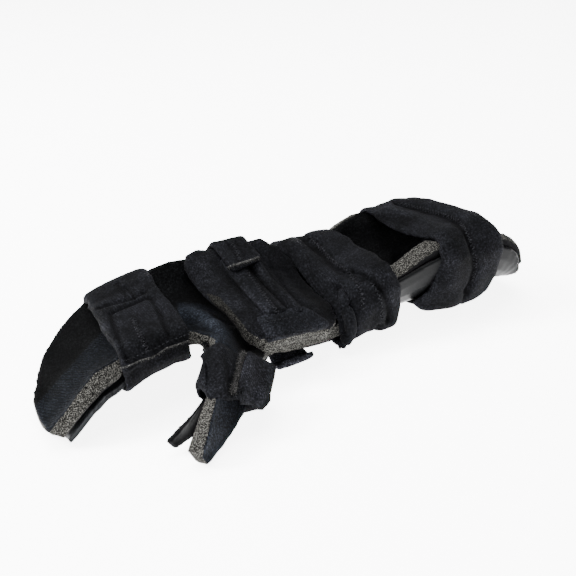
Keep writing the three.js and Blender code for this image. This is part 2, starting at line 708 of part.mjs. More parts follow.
function padNormal(across, x) {
  const low = Math.max(across - 0.02, 0);
  const high = Math.min(across + 0.02, 1);
  const alongX = padPoint(across, x + 1).sub(padPoint(across, x - 1));
  const acrossY = padPoint(high, x).sub(padPoint(low, x));
  return alongX.cross(acrossY).normalize();
}

// A patch laid on the cover's upper face: xRange gives its ends in x at a share across.
function padPatch(from, to, rows, columns, xRange) {
  const points = [];
  const normals = [];
  const quads = [];
  for (let j = 0; j <= rows; j++) {
    const across = mix(from, to, j / rows);
    const [start, end] = xRange(across);
    for (let i = 0; i <= columns; i++) {
      const x = mix(start, end, i / columns);
      points.push(padPoint(across, x));
      normals.push(padNormal(across, x));
      const at = j * (columns + 1) + i;
      if (i > 0 && j > 0) quads.push([at - columns - 2, at - columns - 1, at, at - 1]);
    }
  }
  const lifted = (height) => points.map((p, i) => p.clone().addScaledVector(normals[i], height));
  return { lifted, quads };
}

function buildHandPad() {
  const patch = padPatch(0, 1, PAD_ROWS, 6, (across) => {
    const reach = Math.min(across, 1 - across) * padSpan;
    const lack = Math.max(PAD_CORNER - reach, 0);
    const inset = PAD_CORNER - Math.sqrt(PAD_CORNER ** 2 - lack ** 2);
    const half = PAD_LENGTH / 2 - inset;
    return [PAD_X - half, PAD_X + half];
  });
  const geometry = slabGeometry(patch.lifted(0), patch.lifted(-PAD_THICK), patch.quads);
  return piece("hand_pad", geometry, 0x1a1d24, 0.95);
}

const padStrapEnd = HAND_STRAP_X + HAND_STRAP_WIDTH / 2;
const padStrapPatch = padPatch(FLAP_HEIGHT / padSpan + 0.02, 0.84, 8, 3, () => [
  HAND_STRAP_X - HAND_STRAP_WIDTH / 2,
  padStrapEnd,
]);

function buildPadStrap() {
  const geometry = slabGeometry(
    padStrapPatch.lifted(CLEARANCE + PATCH_THICK),
    padStrapPatch.lifted(CLEARANCE),
    padStrapPatch.quads,
  );
  return piece("pad_strap", geometry, 0x17191f, 0.95);
}

function buildPadFlap() {
  const top = FLAP_HEIGHT / padSpan;
  const patch = padPatch(0.01, top, 3, 4, (across) => [
    HAND_STRAP_X - HAND_STRAP_WIDTH / 2,
    padStrapEnd + FLAP_FLARE * (1 - across / top),
  ]);
  const geometry = slabGeometry(
    patch.lifted(CLEARANCE + PATCH_THICK), patch.lifted(CLEARANCE), patch.quads,
  );
  return piece("pad_flap", geometry, 0x1a1d24, 0.95);
}

// The strap that ties the cover down: from under its thumb edge, below the shell, up the far
// side and over the far end of the cover, where its end lies on the pad strap.
function buildHandStrap() {
  const covered = padStrapPatch.lifted(CLEARANCE + PATCH_THICK);
  const coverX = padPatch(0.05, 1, 10, 6, () => [
    PAD_X - PAD_LENGTH / 2,
    PAD_X + PAD_LENGTH / 2,
  ]);
  const reach = halfStep(FLAT_PROFILE) * HAND_STRAP_WIDTH;
  const inner = [];
  const outer = [];
  for (const { across, thick } of FLAT_PROFILE) {
    const x = HAND_STRAP_X + (across - 0.5) * HAND_STRAP_WIDTH;
    const body = bodyPointsAt(x + HAND_STRAP_SHIFT, reach, 0, -HAND_STRAP_SHIFT / PAD_TOP);
    const near = (p) => Math.abs(p.x - x) < PAD_LENGTH / 6;
    const cover = [...covered, ...coverX.lifted(0)].filter(near).map(
      (p) => new THREE.Vector2(p.y, p.z),
    );
    const low = convexOutline(body);
    const high = convexOutline([...body, ...cover]);
    const path = (radius) => [
      ...spaced(roundedOutline(low, radius), 8, HAND_STRAP_START, 1).slice(0, -1),
      ...spaced(roundedOutline(high, radius), 22, 0, HAND_STRAP_END),
    ];
    const place = (p) => {
      const shift = HAND_STRAP_SHIFT * Math.max(1 - p.y / PAD_TOP, 0);
      return new THREE.Vector3(x + shift, p.x, Math.max(p.y, 0));
    };
    inner.push(path(CLEARANCE).map(place));
    outer.push(path(CLEARANCE + THIN_STRAP * thick).map(place));
  }
  return piece("hand_strap", strapGeometry(inner, outer, false), 0x17191f, 0.95);
}

const brace = new THREE.Group();
brace.add(
  buildShell(), buildLiner(), buildForearmStrap(), buildWristStrap(), buildFingerStrap(),
  buildThumbStrap(), buildHandPad(), buildPadStrap(), buildPadFlap(), buildHandStrap(),
);

export default brace;
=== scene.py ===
import math
import random

import bmesh
import bpy
import numpy as np
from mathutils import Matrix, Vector, noise
from mathutils.bvhtree import BVHTree


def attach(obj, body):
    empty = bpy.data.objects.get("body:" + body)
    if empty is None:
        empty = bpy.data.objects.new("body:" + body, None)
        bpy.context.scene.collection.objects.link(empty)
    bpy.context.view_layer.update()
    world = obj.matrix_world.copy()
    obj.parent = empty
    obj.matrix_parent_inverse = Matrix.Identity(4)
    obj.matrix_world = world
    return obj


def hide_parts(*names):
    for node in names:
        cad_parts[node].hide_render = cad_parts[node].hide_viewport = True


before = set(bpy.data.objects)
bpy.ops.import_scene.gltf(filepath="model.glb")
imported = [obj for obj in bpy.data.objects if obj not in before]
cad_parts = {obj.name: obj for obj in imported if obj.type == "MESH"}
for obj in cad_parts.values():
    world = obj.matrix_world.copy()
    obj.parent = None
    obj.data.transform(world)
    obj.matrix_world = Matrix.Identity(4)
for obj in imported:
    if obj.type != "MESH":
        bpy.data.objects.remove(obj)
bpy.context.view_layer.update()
MM = 0.001
chance = random.Random(7)

# The photograph's camera, in metres, and the picture's width in pixels
CAMERA_AT = Vector((-0.4398, -0.5070, 0.3236))
CAMERA_TO = Vector((-0.1230, 0.0, 0.0333))
CAMERA_LENS = 59.4
SENSOR = 36.0
PICTURE = 576

# Colours, linear
CLOTH_DARK = (0.0008, 0.00085, 0.0010, 1)
CLOTH_LIGHT = (0.0027, 0.0028, 0.0035, 1)
LINER_DARK = (0.0009, 0.0011, 0.0015, 1)
LINER_LIGHT = (0.0024, 0.0028, 0.0037, 1)
# Painted shade on the liner's cloth where it isn't marked lit
PAINTED_WALL_SHADE = (0.40, 0.36, 0.30, 1)
FLAP_DARK = (0.0012, 0.0013, 0.0016, 1)
FLAP_LIGHT = (0.0033, 0.0035, 0.0044, 1)
FOAM_LIGHT = (0.080, 0.0785, 0.072, 1)
FOAM_MID = (0.0085, 0.0082, 0.0075, 1)
FOAM_PORE = (0.0016, 0.0016, 0.0015, 1)
BACK_DARK = (0.003, 0.003, 0.0033, 1)
FUZZ = (0.030, 0.0297, 0.029, 1)
THREAD = (0.0075, 0.0077, 0.0088, 1)
SHELL_GREY = (0.0023, 0.0024, 0.0026, 1)
SHELL_DARK = (0.0017, 0.0018, 0.0019, 1)
DARKENED_SHELL_COLOR = (0.0009, 0.0009, 0.001, 1)
FLOOR_WHITE = (0.93, 0.93, 0.93, 1)
WHITE = (1, 1, 1, 1)

# Outlines in the picture: the roll of cloth by the thumb, painted as lit, and the thumb strap's
# raised end, also painted lighter
WEB_OUTLINE = [(176, 302), (197, 302), (210, 306), (223, 315), (233, 329), (239, 346), (238, 362),
               (214, 362), (205, 345), (176, 334)]
TAB_OUTLINE = [(246, 353.5), (255, 352), (270, 361), (275, 368), (273, 379), (269, 389),
               (268.5, 401), (263, 408), (250, 408), (241, 403), (232, 396), (236, 384)]

# The cloth simulation's length in frames and the filling's pressure
CLOTH_FRAMES = 14
SWELLING = 4.0

# Radii of a stitch and of a hair's root, middle and tip, and the share of a step that is thread
STITCH = 0.4 * MM
HAIR_RADII = (0.12 * MM, 0.1 * MM, 0.05 * MM)
RUN_SHARE = 0.62

# Foam slabs: the corner that parts a face from the rim, and how far the cloth and the knit on the
# back lap over the cut edge, in millimetres
SHARP_CORNER = math.radians(55)
CLOTH_LAP = 0.9
BACK_DEPTH = 0.4

# Places along the brace, in metres: the seams under two straps and the pad strap's middle
FOREARM_SEAM = 0.0
WRIST_SEAM = -0.0791
BAND_MIDDLE = -0.1541

# The white floor and the world
FLOOR_HALF = 40
FLOOR_DROP = 0.0006
FLOOR_GLOW = 6.0
WORLD_GLOW = 0.6


# Mesh helpers

def points_of(mesh):
    flat = np.empty(len(mesh.vertices) * 3)
    mesh.vertices.foreach_get("co", flat)
    return flat.reshape(-1, 3)


def normals_of(mesh):
    flat = np.empty(len(mesh.vertices) * 3)
    mesh.vertex_normals.foreach_get("vector", flat)
    return flat.reshape(-1, 3)


def set_points(mesh, points):
    mesh.vertices.foreach_set("co", np.ascontiguousarray(points, dtype=np.float64).ravel())
    mesh.update()


def link(name, mesh):
    piece = bpy.data.objects.new(name, mesh)
    bpy.context.scene.collection.objects.link(piece)
    return piece


def apply_modifiers(piece):
    graph = bpy.context.evaluated_depsgraph_get()
    mesh = bpy.data.meshes.new_from_object(piece.evaluated_get(graph))
    piece.modifiers.clear()
    old = piece.data
    piece.data = mesh
    bpy.data.meshes.remove(old)


def smooth_shaded(mesh):
    mesh.polygons.foreach_set("use_smooth", [True] * len(mesh.polygons))


def smoothed(mesh, rounds, strength=0.5, mask=None, shrink=-1.04):
    """Evens out the mesh where the mask lets it. Each round takes its shrinkage back, unless
    shrink is 0."""
    points = points_of(mesh)
    before = points.copy()
    flat = np.empty(len(mesh.edges) * 2, dtype=np.int64)
    mesh.edges.foreach_get("vertices", flat)
    pairs = flat.reshape(-1, 2)
    ends = np.concatenate([pairs[:, 0], pairs[:, 1]])
    others = np.concatenate([pairs[:, 1], pairs[:, 0]])
    count = np.maximum(np.bincount(ends, minlength=len(points)), 1)
    for _ in range(rounds):
        for step in (strength, strength * shrink):
            if not step:
                continue
            for axis in range(3):
                total = np.bincount(ends, weights=points[others, axis], minlength=len(points))
                points[:, axis] += step * (total / count - points[:, axis])
    if mask is not None:
        points = before + (points - before) * mask[:, None]
    set_points(mesh, points)


def remeshed(name, source, voxel, rounds):
    """A fine smooth copy of a CAD node's solid."""
    piece = link(name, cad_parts[source].data.copy())
    piece.data.materials.clear()
    remesh = piece.modifiers.new("remesh", "REMESH")
    remesh.mode = "VOXEL"
    remesh.voxel_size = voxel
    apply_modifiers(piece)
    smoothed(piece.data, rounds)
    smooth_shaded(piece.data)
    return piece


def subdivided(piece):
    modifier = piece.modifiers.new("subdivide", "SUBSURF")
    modifier.levels = modifier.render_levels = 1
    apply_modifiers(piece)
    smooth_shaded(piece.data)


def puffed(piece, pressure, cap):
    """Lets the filling press the cloth out in a simulation, with no point moving past the cap."""
    before = points_of(piece.data)
    cloth = piece.modifiers.new("cloth", "CLOTH")
    cloth.settings.use_pressure = True
    cloth.settings.uniform_pressure_force = pressure
    cloth.settings.effector_weights.gravity = 0
    cloth.settings.quality = 4
    scene = bpy.context.scene
    for number in range(1, CLOTH_FRAMES + 1):
        scene.frame_set(number)
    graph = bpy.context.evaluated_depsgraph_get()
    after = points_of(piece.evaluated_get(graph).data)
    piece.modifiers.clear()
    scene.frame_set(1)
    moved = after - before
    length = np.linalg.norm(moved, axis=1, keepdims=True)
    set_points(piece.data, before + moved * np.minimum(cap / np.maximum(length, 1e-9), 1))
    smoothed(piece.data, 2)


def tree_of(mesh):
    points = [Vector(p) for p in points_of(mesh)]
    return BVHTree.FromPolygons(points, [tuple(face.vertices) for face in mesh.polygons])


def noise_at(points, scale, seed):
    """Smooth noise from -1 to 1 at each point, with bumps of the given size."""
    shift = Vector((seed * 3.17, seed * 1.31, seed * 2.23))
    return np.array([noise.noise(Vector(p) / scale + shift) for p in points])


def set_attribute(mesh, name, values):
    layer = mesh.attributes.get(name) or mesh.attributes.new(name, "FLOAT", "POINT")
    layer.data.foreach_set("value", values)


def attribute_of(mesh, name):
    values = np.empty(len(mesh.vertices))
    mesh.attributes[name].data.foreach_get("value", values)
    return values


def lifted(piece, lift):
    """Moves each point along its normal."""
    points = points_of(piece.data)
    set_points(piece.data, points + normals_of(piece.data) * np.reshape(lift, (-1, 1)))


def distances(points, tree):
    return np.array([tree.find_nearest(Vector(p))[3] for p in points])


def nearest_in(samples, points):
    """The number of each point's nearest sample, and the squared distance to it."""
    number, squared = np.empty(len(points), dtype=int), np.empty(len(points))
    for block in np.array_split(np.arange(len(points)), len(points) // 4000 + 1):
        gaps = ((points[block][:, None, :] - samples[None, :, :]) ** 2).sum(axis=2)
        number[block], squared[block] = gaps.argmin(axis=1), gaps.min(axis=1)
    return number, squared


def eased(values, start, end):
    """0 before start, 1 past end, smooth between."""
    share = np.clip((values - start) / (end - start), 0, 1)
    return share * share * (3 - 2 * share)


# Places seen in the photograph

def camera_axes():
    """The camera's directions ahead, to the right and up, and its focal length in pixels."""
    forward = (CAMERA_TO - CAMERA_AT).normalized()
    right = forward.cross(Vector((0, 0, 1))).normalized()
    return forward, right, right.cross(forward), CAMERA_LENS / SENSOR * PICTURE


def picture_ray(x, y):
    forward, right, up, focal = camera_axes()
    half = PICTURE / 2
    return (forward * focal + right * (x - half) - up * (y - half)).normalized()


def seen_path(tree, corners, step=1.0):
    """Surface points and normals under a line drawn in the picture, in pixels."""
    places, normals = [], []
    for (x0, y0), (x1, y1) in zip(corners, corners[1:]):
        count = max(int(math.hypot(x1 - x0, y1 - y0) / step), 1)
        for i in range(count):
            share = i / count
            ray = picture_ray(x0 + (x1 - x0) * share, y0 + (y1 - y0) * share)
            place, normal, _, _ = tree.ray_cast(CAMERA_AT, ray)
            if place is not None:
                places.append(place)
                normals.append(normal)
    return np.array(places), np.array(normals)


def turn_path(tree, along, first, last, count=60):
    """Surface points and normals round the trough at one place along it, between two angles in
    degrees about its middle."""
    places, normals = [], []
    for i in range(count + 1):
        turn = math.radians(first + (last - first) * i / count)
        outward = Vector((0, math.cos(turn), math.sin(turn)))
        start = Vector((along, 0, 0.03)) + outward * 0.15
        place, normal, _, _ = tree.ray_cast(start, -outward)
        if place is not None:
            places.append(place)
            normals.append(normal)
    return np.array(places), np.array(normals)


def even_path(path, step):
    """The path's points, normals and directions at even steps along it."""
    places, normals = path
    lengths = np.linalg.norm(np.diff(places, axis=0), axis=1)
    run = np.concatenate([[0], np.cumsum(lengths)])
    marks = np.arange(0, run[-1], step)
    even = np.stack([np.interp(marks, run, places[:, k]) for k in range(3)], axis=1)
    upright = np.stack([np.interp(marks, run, normals[:, k]) for k in range(3)], axis=1)
    upright /= np.linalg.norm(upright, axis=1, keepdims=True)
    ahead = np.gradient(even, axis=0)
    ahead /= np.maximum(np.linalg.norm(ahead, axis=1, keepdims=True), 1e-9)
    return even, upright, ahead


def near_path(points, normals, path, width):
    """How near each point is to a path on its own side, as a bell from 1 on it to 0."""
    places, facing = path
    bell = np.zeros(len(points))
    low, high = places.min(axis=0) - 3 * width, places.max(axis=0) + 3 * width
    close = np.where(((points > low) & (points < high)).all(axis=1))[0]
    nearest, squared = nearest_in(places, points[close])
    agree = (normals[close] * facing[nearest]).sum(axis=1)
    bell[close] = np.exp(-squared / width ** 2) * np.clip(agree * 2, 0, 1)
    return bell


def pressed(piece, features):
    """Moves the surface along its normals near each path: (path, height, width) in metres."""
    points, normals = points_of(piece.data), normals_of(piece.data)
    lift = np.zeros(len(points))
    for path, height, width in features:
        if len(path[0]) > 1:
            lift += height * near_path(points, normals, path, width)
    lifted(piece, lift)


def picture_places(points):
    """Where points are seen in the picture, in pixels, the size of a pixel there in metres, and the
    picture's two axes."""
    forward, right, up, focal = camera_axes()
    away = points - np.array(CAMERA_AT)
    depth = away @ np.array(forward)
    across = PICTURE / 2 + focal * (away @ np.array(right)) / depth
    down = PICTURE / 2 - focal * (away @ np.array(up)) / depth
    return np.stack([across, down], axis=1), depth / focal, np.array(right), np.array(up)


def line_samples(corners, count=12):
    """Points along a line in the picture, with the same number between each pair of corners."""
    corners = np.array(corners, dtype=float)
    marks = np.linspace(0, len(corners) - 1, count * (len(corners) - 1) + 1)
    places = np.arange(len(corners))
    return np.stack([np.interp(marks, places, corners[:, k]) for k in (0, 1)], axis=1)


def pulled(piece, lines):
    """Shifts a piece across the picture's plane, so that what is seen along the first line of each
    pull comes to the second, fading over the pull's reach in pixels. A pull may also bring the
    piece nearer to the camera, by a length in metres."""
    points = points_of(piece.data)
    seen, scale, right, up = picture_places(points)
    towards = np.cross(right, up)
    total, shift, near = np.zeros(len(points)), np.zeros((len(points), 2)), np.zeros(len(points))
    for start, end, reach, *nearer in lines:
        start, end = line_samples(start), line_samples(end)
        close = np.where(((seen > start.min(axis=0) - 3 * reach)
                          & (seen < start.max(axis=0) + 3 * reach)).all(axis=1))[0]
        nearest, squared = nearest_in(start, seen[close])
        weight = np.exp(-squared / reach ** 2)
        total[close] += weight
        shift[close] += weight[:, None] * (end - start)[nearest]
        near[close] += weight * (nearer[0] if nearer else 0)
    shift /= np.maximum(total, 1)[:, None]
    shift *= scale[:, None]
    near /= np.maximum(total, 1)
    moved = np.outer(shift[:, 0], right) - np.outer(shift[:, 1], up) + np.outer(near, towards)
    set_points(piece.data, points + moved)


def line_bell(seen, corners, reach):
    """1 on a line in the picture, falling to 0 past its reach in pixels."""
    _, squared = nearest_in(line_samples(corners), seen)
    return np.exp(-squared / reach ** 2)


def patch(piece, corners, soft):
    """1 inside an outline drawn in the picture, on the side turned to the camera, 0 outside."""
    points, normals = points_of(piece.data), normals_of(piece.data)
    seen = picture_places(points)[0]
    corners = np.array(corners, dtype=float)
    inside = np.zeros(len(seen), dtype=bool)
    nearest = np.full(len(seen), np.inf)
    for start, end in zip(corners, np.roll(corners, -1, axis=0)):
        along = end - start
        share = np.clip(((seen - start) @ along) / (along @ along), 0, 1)
        nearest = np.minimum(nearest, np.linalg.norm(seen - start - share[:, None] * along, axis=1))
        crosses = (start[1] > seen[:, 1]) != (end[1] > seen[:, 1])
        if along[1]:
            edge_at = start[0] + (seen[:, 1] - start[1]) * along[0] / along[1]
            inside ^= crosses & (seen[:, 0] < edge_at)
    facing = ((np.array(CAMERA_AT) - points) * normals).sum(axis=1) > 0
    return eased(np.where(inside, nearest, 0), 0, soft) * facing


def raised(piece, corners, height, soft):
    """Lifts the cloth inside an outline drawn in the picture."""
    lifted(piece, height * patch(piece, corners, soft))


def shade_folds(piece, depth=2.0, strokes=()):
    """Writes a painted tone: painted shade in the folds and painted light on the ridges, where the
    nap is also worn, with soft strokes of painted light and shade given as (line in the picture,
    reach in pixels, gain)."""
    mesh = piece.data
    points, normals = points_of(mesh), normals_of(mesh)
    edge = math.sqrt(sum(face.area for face in mesh.polygons) / len(mesh.polygons))
    smoothed(mesh, int(min(45 * (0.9 * MM / edge) ** 2, 160)), shrink=0.0)
    hollow = ((points_of(mesh) - points) * normals).sum(axis=1) / MM
    set_points(mesh, points)
    painted_shading = np.clip(1 - hollow / depth, 0.3, 1.5)
    seen = picture_places(points)[0]
    for line, reach, gain in strokes:
        painted_shading *= 1 + (gain - 1) * line_bell(seen, line, reach)
    set_attribute(mesh, "painted_shading", painted_shading)


def roughened(piece, height, scale, seed):
    """Adds bumps of the given height and size."""
    lifted(piece, height * noise_at(points_of(piece.data), scale, seed))


# Threads, fibres and raw edges

class Tubes:
    """Collects short thin tubes into one mesh."""

    def __init__(self):
        self.points, self.faces = [], []

    def add(self, line, radii, sides=6):
        line = [Vector(p) for p in line]
        first = len(self.points)
        for i, (place, radius) in enumerate(zip(line, radii)):
            ahead = (line[min(i + 1, len(line) - 1)] - line[max(i - 1, 0)]).normalized()
            side = ahead.orthogonal().normalized()
            other = ahead.cross(side)
            for k in range(sides):
                angle = 2 * math.pi * k / sides
                spoke = side * math.cos(angle) + other * math.sin(angle)
                self.points.append(place + spoke * radius)
        for i in range(len(line) - 1):
            for k in range(sides):
                a = first + i * sides + k
                b = first + i * sides + (k + 1) % sides
                self.faces.append((a, b, b + sides, a + sides))
        last = first + (len(line) - 1) * sides
        self.faces.append(tuple(first + k for k in reversed(range(sides))))
        self.faces.append(tuple(last + k for k in range(sides)))

    def build(self, name):
        mesh = bpy.data.meshes.new(name)
        mesh.from_pydata(self.points, [], self.faces)
        smooth_shaded(mesh)
        return link(name, mesh)


def stitch(tubes, start, end, upright, radius=STITCH):
    """One stitch that stands up from the cloth and goes into it at both ends."""
    start, end, upright = Vector(start), Vector(end), Vector(upright)
    sink, rise = upright * -0.5 * MM, upright * 0.22 * MM
    line = [start + sink, start.lerp(end, 0.12) + rise * 0.6, start.lerp(end, 0.5) + rise,
            start.lerp(end, 0.88) + rise * 0.6, end + sink]
    tubes.add(line, [radius * k for k in (0.7, 1, 1.05, 1, 0.7)])


def zigzag(tubes, path, step, swing):
    even, upright, ahead = even_path(path, step)
    sideways = np.cross(upright, ahead)
    swings = [swing * (1 if i % 2 else -1) for i in range(len(even))]
    corners = even + sideways * np.array(swings)[:, None]
    for i in range(len(even) - 1):
        stitch(tubes, corners[i], corners[i + 1], upright[i])


def running(tubes, path, step):
    even, upright, ahead = even_path(path, step)
    for place, normal, direction in zip(even, upright, ahead):
        stitch(tubes, place, place + direction * step * RUN_SHARE, normal, 0.9 * STITCH)


def raw_edge(name, path, radius, outward, hairs, hair_length):
    """A bumpy rope along a cut edge, with short hairs that mostly point outward."""
    tubes = Tubes()
    even, upright, _ = even_path(path, 0.9 * MM)
    wobble = noise_at(even, 3 * MM, 5)
    line = even + upright * (radius * 0.35 * wobble)[:, None]
    tubes.add(line, [radius * (0.85 + 0.35 * w) for w in wobble], sides=8)
    outward = Vector(outward).normalized()
    for _ in range(hairs):
        at = chance.randrange(len(line))
        root = Vector(line[at])
        aim = outward + Vector([chance.uniform(-1, 1) for _ in range(3)]) * 1.1
        aim = (aim + Vector(upright[at]) * 0.4).normalized()
        length = hair_length * chance.uniform(0.4, 1.1)
        bend = Vector([chance.uniform(-1, 1) for _ in range(3)]) * length * 0.25
        tip = root + aim * (radius + length)
        hair = [root, root.lerp(tip, 0.6) + bend, tip + bend * 1.4]
        tubes.add(hair, HAIR_RADII, sides=3)
    return tubes.build(name)


# Material helpers

def new_material(name, roughness, sheen=0.0):
    material = bpy.data.materials.new(name)
    material.use_nodes = True
    shader = material.node_tree.nodes["Principled BSDF"]
    shader.inputs["Roughness"].default_value = roughness
    shader.inputs["Sheen Weight"].default_value = sheen
    return material, material.node_tree, shader


def add_node(tree, kind, **values):
    node = tree.nodes.new(kind)
    for key, value in values.items():
        if key in node.inputs:
            node.inputs[key].default_value = value
        else:
            setattr(node, key, value)
    return node


def object_place(tree, stretch=(1, 1, 1), turn=0.0):
    coords = add_node(tree, "ShaderNodeTexCoord")
    mapping = add_node(tree, "ShaderNodeMapping")
    mapping.inputs["Scale"].default_value = stretch
    mapping.inputs["Rotation"].default_value = (0, 0, turn)
    tree.links.new(coords.outputs["Object"], mapping.inputs["Vector"])
    return mapping.outputs["Vector"]


def noise_node(tree, scale, detail=3.0, roughness=0.6, stretch=(1, 1, 1)):
    node = add_node(tree, "ShaderNodeTexNoise", Scale=scale, Detail=detail, Roughness=roughness)
    tree.links.new(object_place(tree, stretch), node.inputs["Vector"])
    return node


def ramp_node(tree, factor, stops):
    node = add_node(tree, "ShaderNodeValToRGB")
    elements = node.color_ramp.elements
    for element, (place, color) in zip(elements, (stops[0], stops[-1])):
        element.position = place
        element.color = color
    for place, color in stops[1:-1]:
        elements.new(place).color = color
    tree.links.new(factor, node.inputs["Fac"])
    return node


def grey(value):
    return (value, value, value, 1)


def join(tree, value, socket):
    """Links the value to the socket, or sets it where it is a number or a colour."""
    if isinstance(value, bpy.types.NodeSocket):
        tree.links.new(value, socket)
    else:
        socket.default_value = value


def mix_colors(tree, factor, first, second, blend="MIX"):
    node = add_node(tree, "ShaderNodeMix", data_type="RGBA", blend_type=blend)
    for value, place in ((factor, 0), (first, 6), (second, 7)):
        join(tree, value, node.inputs[place])
    return node.outputs[2]


def multiplied(tree, first, second):
    """Two colours multiplied."""
    return mix_colors(tree, 1.0, first, second, "MULTIPLY")


def mix_values(tree, factor, first, second):
    node = add_node(tree, "ShaderNodeMix", data_type="FLOAT")
    for value, place in ((factor, 0), (first, 2), (second, 3)):
        join(tree, value, node.inputs[place])
    return node.outputs[0]


def math_node(tree, operation, first, second=0.0, third=0.0):
    node = add_node(tree, "ShaderNodeMath", operation=operation)
    for value, socket in zip((first, second, third), node.inputs):
        join(tree, value, socket)
    return node.outputs[0]


def stepped(tree, value, low, high):
    """0 below low, 1 above high."""
    node = add_node(tree, "ShaderNodeMapRange", **{"From Min": low, "From Max": high})
    tree.links.new(value, node.inputs["Value"])
    return node.outputs["Result"]


def attribute(tree, name):
    return add_node(tree, "ShaderNodeAttribute", attribute_name=name).outputs["Fac"]


def bump_from(tree, shader, height, strength, distance):
    node = add_node(tree, "ShaderNodeBump", Strength=strength, Distance=distance)
    tree.links.new(height, node.inputs["Height"])
    tree.links.new(node.outputs["Normal"], shader.inputs["Normal"])


def nap(tree, dark, light, ribs=None):
    """Colour and height of brushed cloth: patches of nap, single fibres and light specks, and
    ribs given as (wave, mask, depth)."""
    patches = noise_node(tree, 45.0, detail=5.0, roughness=0.65)
    fibres = noise_node(tree, 860.0, detail=4.0, roughness=0.75)
    base = ramp_node(tree, patches.outputs["Fac"], [(0.34, dark), (0.68, light)])
    speck = ramp_node(tree, fibres.outputs["Fac"],
                      [(0.36, grey(0.3)), (0.51, grey(0.95)), (0.66, grey(4.0))])
    color = multiplied(tree, base.outputs["Color"], speck.outputs["Color"])
    color = multiplied(tree, color, attribute(tree, "painted_shading"))
    height = fibres.outputs["Fac"]
    if ribs:
        wave, mask, depth = ribs
        rib = math_node(tree, "MULTIPLY", wave, mask)
        height = math_node(tree, "MULTIPLY_ADD", rib, depth, height)
        shade = math_node(tree, "MULTIPLY_ADD", rib, 0.75, 0.8)
        color = mix_colors(tree, mask, color, multiplied(tree, color, shade))
    return color, height


def wave_at(tree, spacing, turn=0.0):
    """Ridges across the X axis, turned about Z, with the given spacing in metres."""
    node = add_node(tree, "ShaderNodeTexWave", wave_type="BANDS", bands_direction="X",
                    Scale=0.314159 / spacing, Distortion=0.6)
    node.inputs["Detail"].default_value = 1.0
    node.inputs["Detail Scale"].default_value = 1.0
    tree.links.new(object_place(tree, turn=turn), node.inputs["Vector"])
    return node.outputs["Fac"]


def cloth_shader(name):
    material, tree, shader = new_material(name, 0.93, sheen=0.004)
    shader.inputs["Sheen Roughness"].default_value = 0.45
    shader.inputs["Specular IOR Level"].default_value = 0.03
    return material, tree, shader


def foam_color(tree):
    """Open-cell foam: light grains with dark pores between them."""
    cells = add_node(tree, "ShaderNodeTexVoronoi", feature="F1", Scale=1600.0)
    tree.links.new(object_place(tree), cells.inputs["Vector"])
    grain = noise_node(tree, 1350.0, detail=2.0, roughness=0.7)
    blend = math_node(tree, "MULTIPLY_ADD", cells.outputs["Distance"], -0.45, grain.outputs["Fac"])
    lift = math_node(tree, "ADD", blend, 0.24)
    ramp = ramp_node(tree, lift, [(0.36, FOAM_PORE), (0.50, FOAM_MID), (0.66, FOAM_LIGHT)])
    return ramp.outputs["Color"], lift


def cloth_material(name, dark, light):
    material, tree, shader = cloth_shader(name)
    color, height = nap(tree, dark, light)
    tree.links.new(color, shader.inputs["Base Color"])
    bump_from(tree, shader, height, 0.7, 0.0005)
    return material


def strap_material():
    """Brushed strap cloth with fine lengthwise ribs that fade in and out."""
    material, tree, shader = cloth_shader("strap_cloth")
    rib_wave = wave_at(tree, 1.5 * MM)
    fade = noise_node(tree, 22.0, detail=1.0)
    mask = stepped(tree, fade.outputs["Fac"], 0.45, 0.65)
    color, height = nap(tree, CLOTH_DARK, CLOTH_LIGHT, ribs=(rib_wave, mask, 0.35))
    tree.links.new(color, shader.inputs["Base Color"])
    bump_from(tree, shader, height, 0.7, 0.0005)
    return material


def foam_core_material(name, dark, light, edge_shade, ribs=False):
    """Cloth on one face, cut foam round the edge and dark knit on the back, parted by attributes.
    The foam edge takes painted shade where an attribute marks it, and with ribs the cloth takes
    painted shade where it isn't marked lit."""
    material, tree, shader = cloth_shader(name)
    rib = None
    if ribs:
        rib = (wave_at(tree, 1.8 * MM, turn=math.radians(-21)), attribute(tree, "ribbed"), 1.2)
    color, height = nap(tree, dark, light, ribs=rib)
    edge_color, edge_height = foam_color(tree)
    wander = noise_node(tree, 500.0, detail=2.0)
    ragged = math_node(tree, "MULTIPLY_ADD", wander.outputs["Fac"], 0.5, -0.25)
    on_edge = stepped(tree, math_node(tree, "ADD", attribute(tree, "cut"), ragged), -0.08, 0.08)
    # Foam edges marked by an attribute are painted in shade
    edge_dim = multiplied(tree, edge_color, grey(edge_shade))
    edge_color = mix_colors(tree, attribute(tree, "foam_in_painted_shade"), edge_color, edge_dim)
    # With ribs, cloth not marked lit takes painted shade
    if ribs:
        color = mix_colors(tree, attribute(tree, "lit"), multiplied(tree, color, PAINTED_WALL_SHADE), color)
    color = mix_colors(tree, on_edge, color, edge_color)
    color = mix_colors(tree, attribute(tree, "back"), color, BACK_DARK)
    tree.links.new(color, shader.inputs["Base Color"])
    bump_from(tree, shader, mix_values(tree, on_edge, height, edge_height), 0.8, 0.0006)
    return material


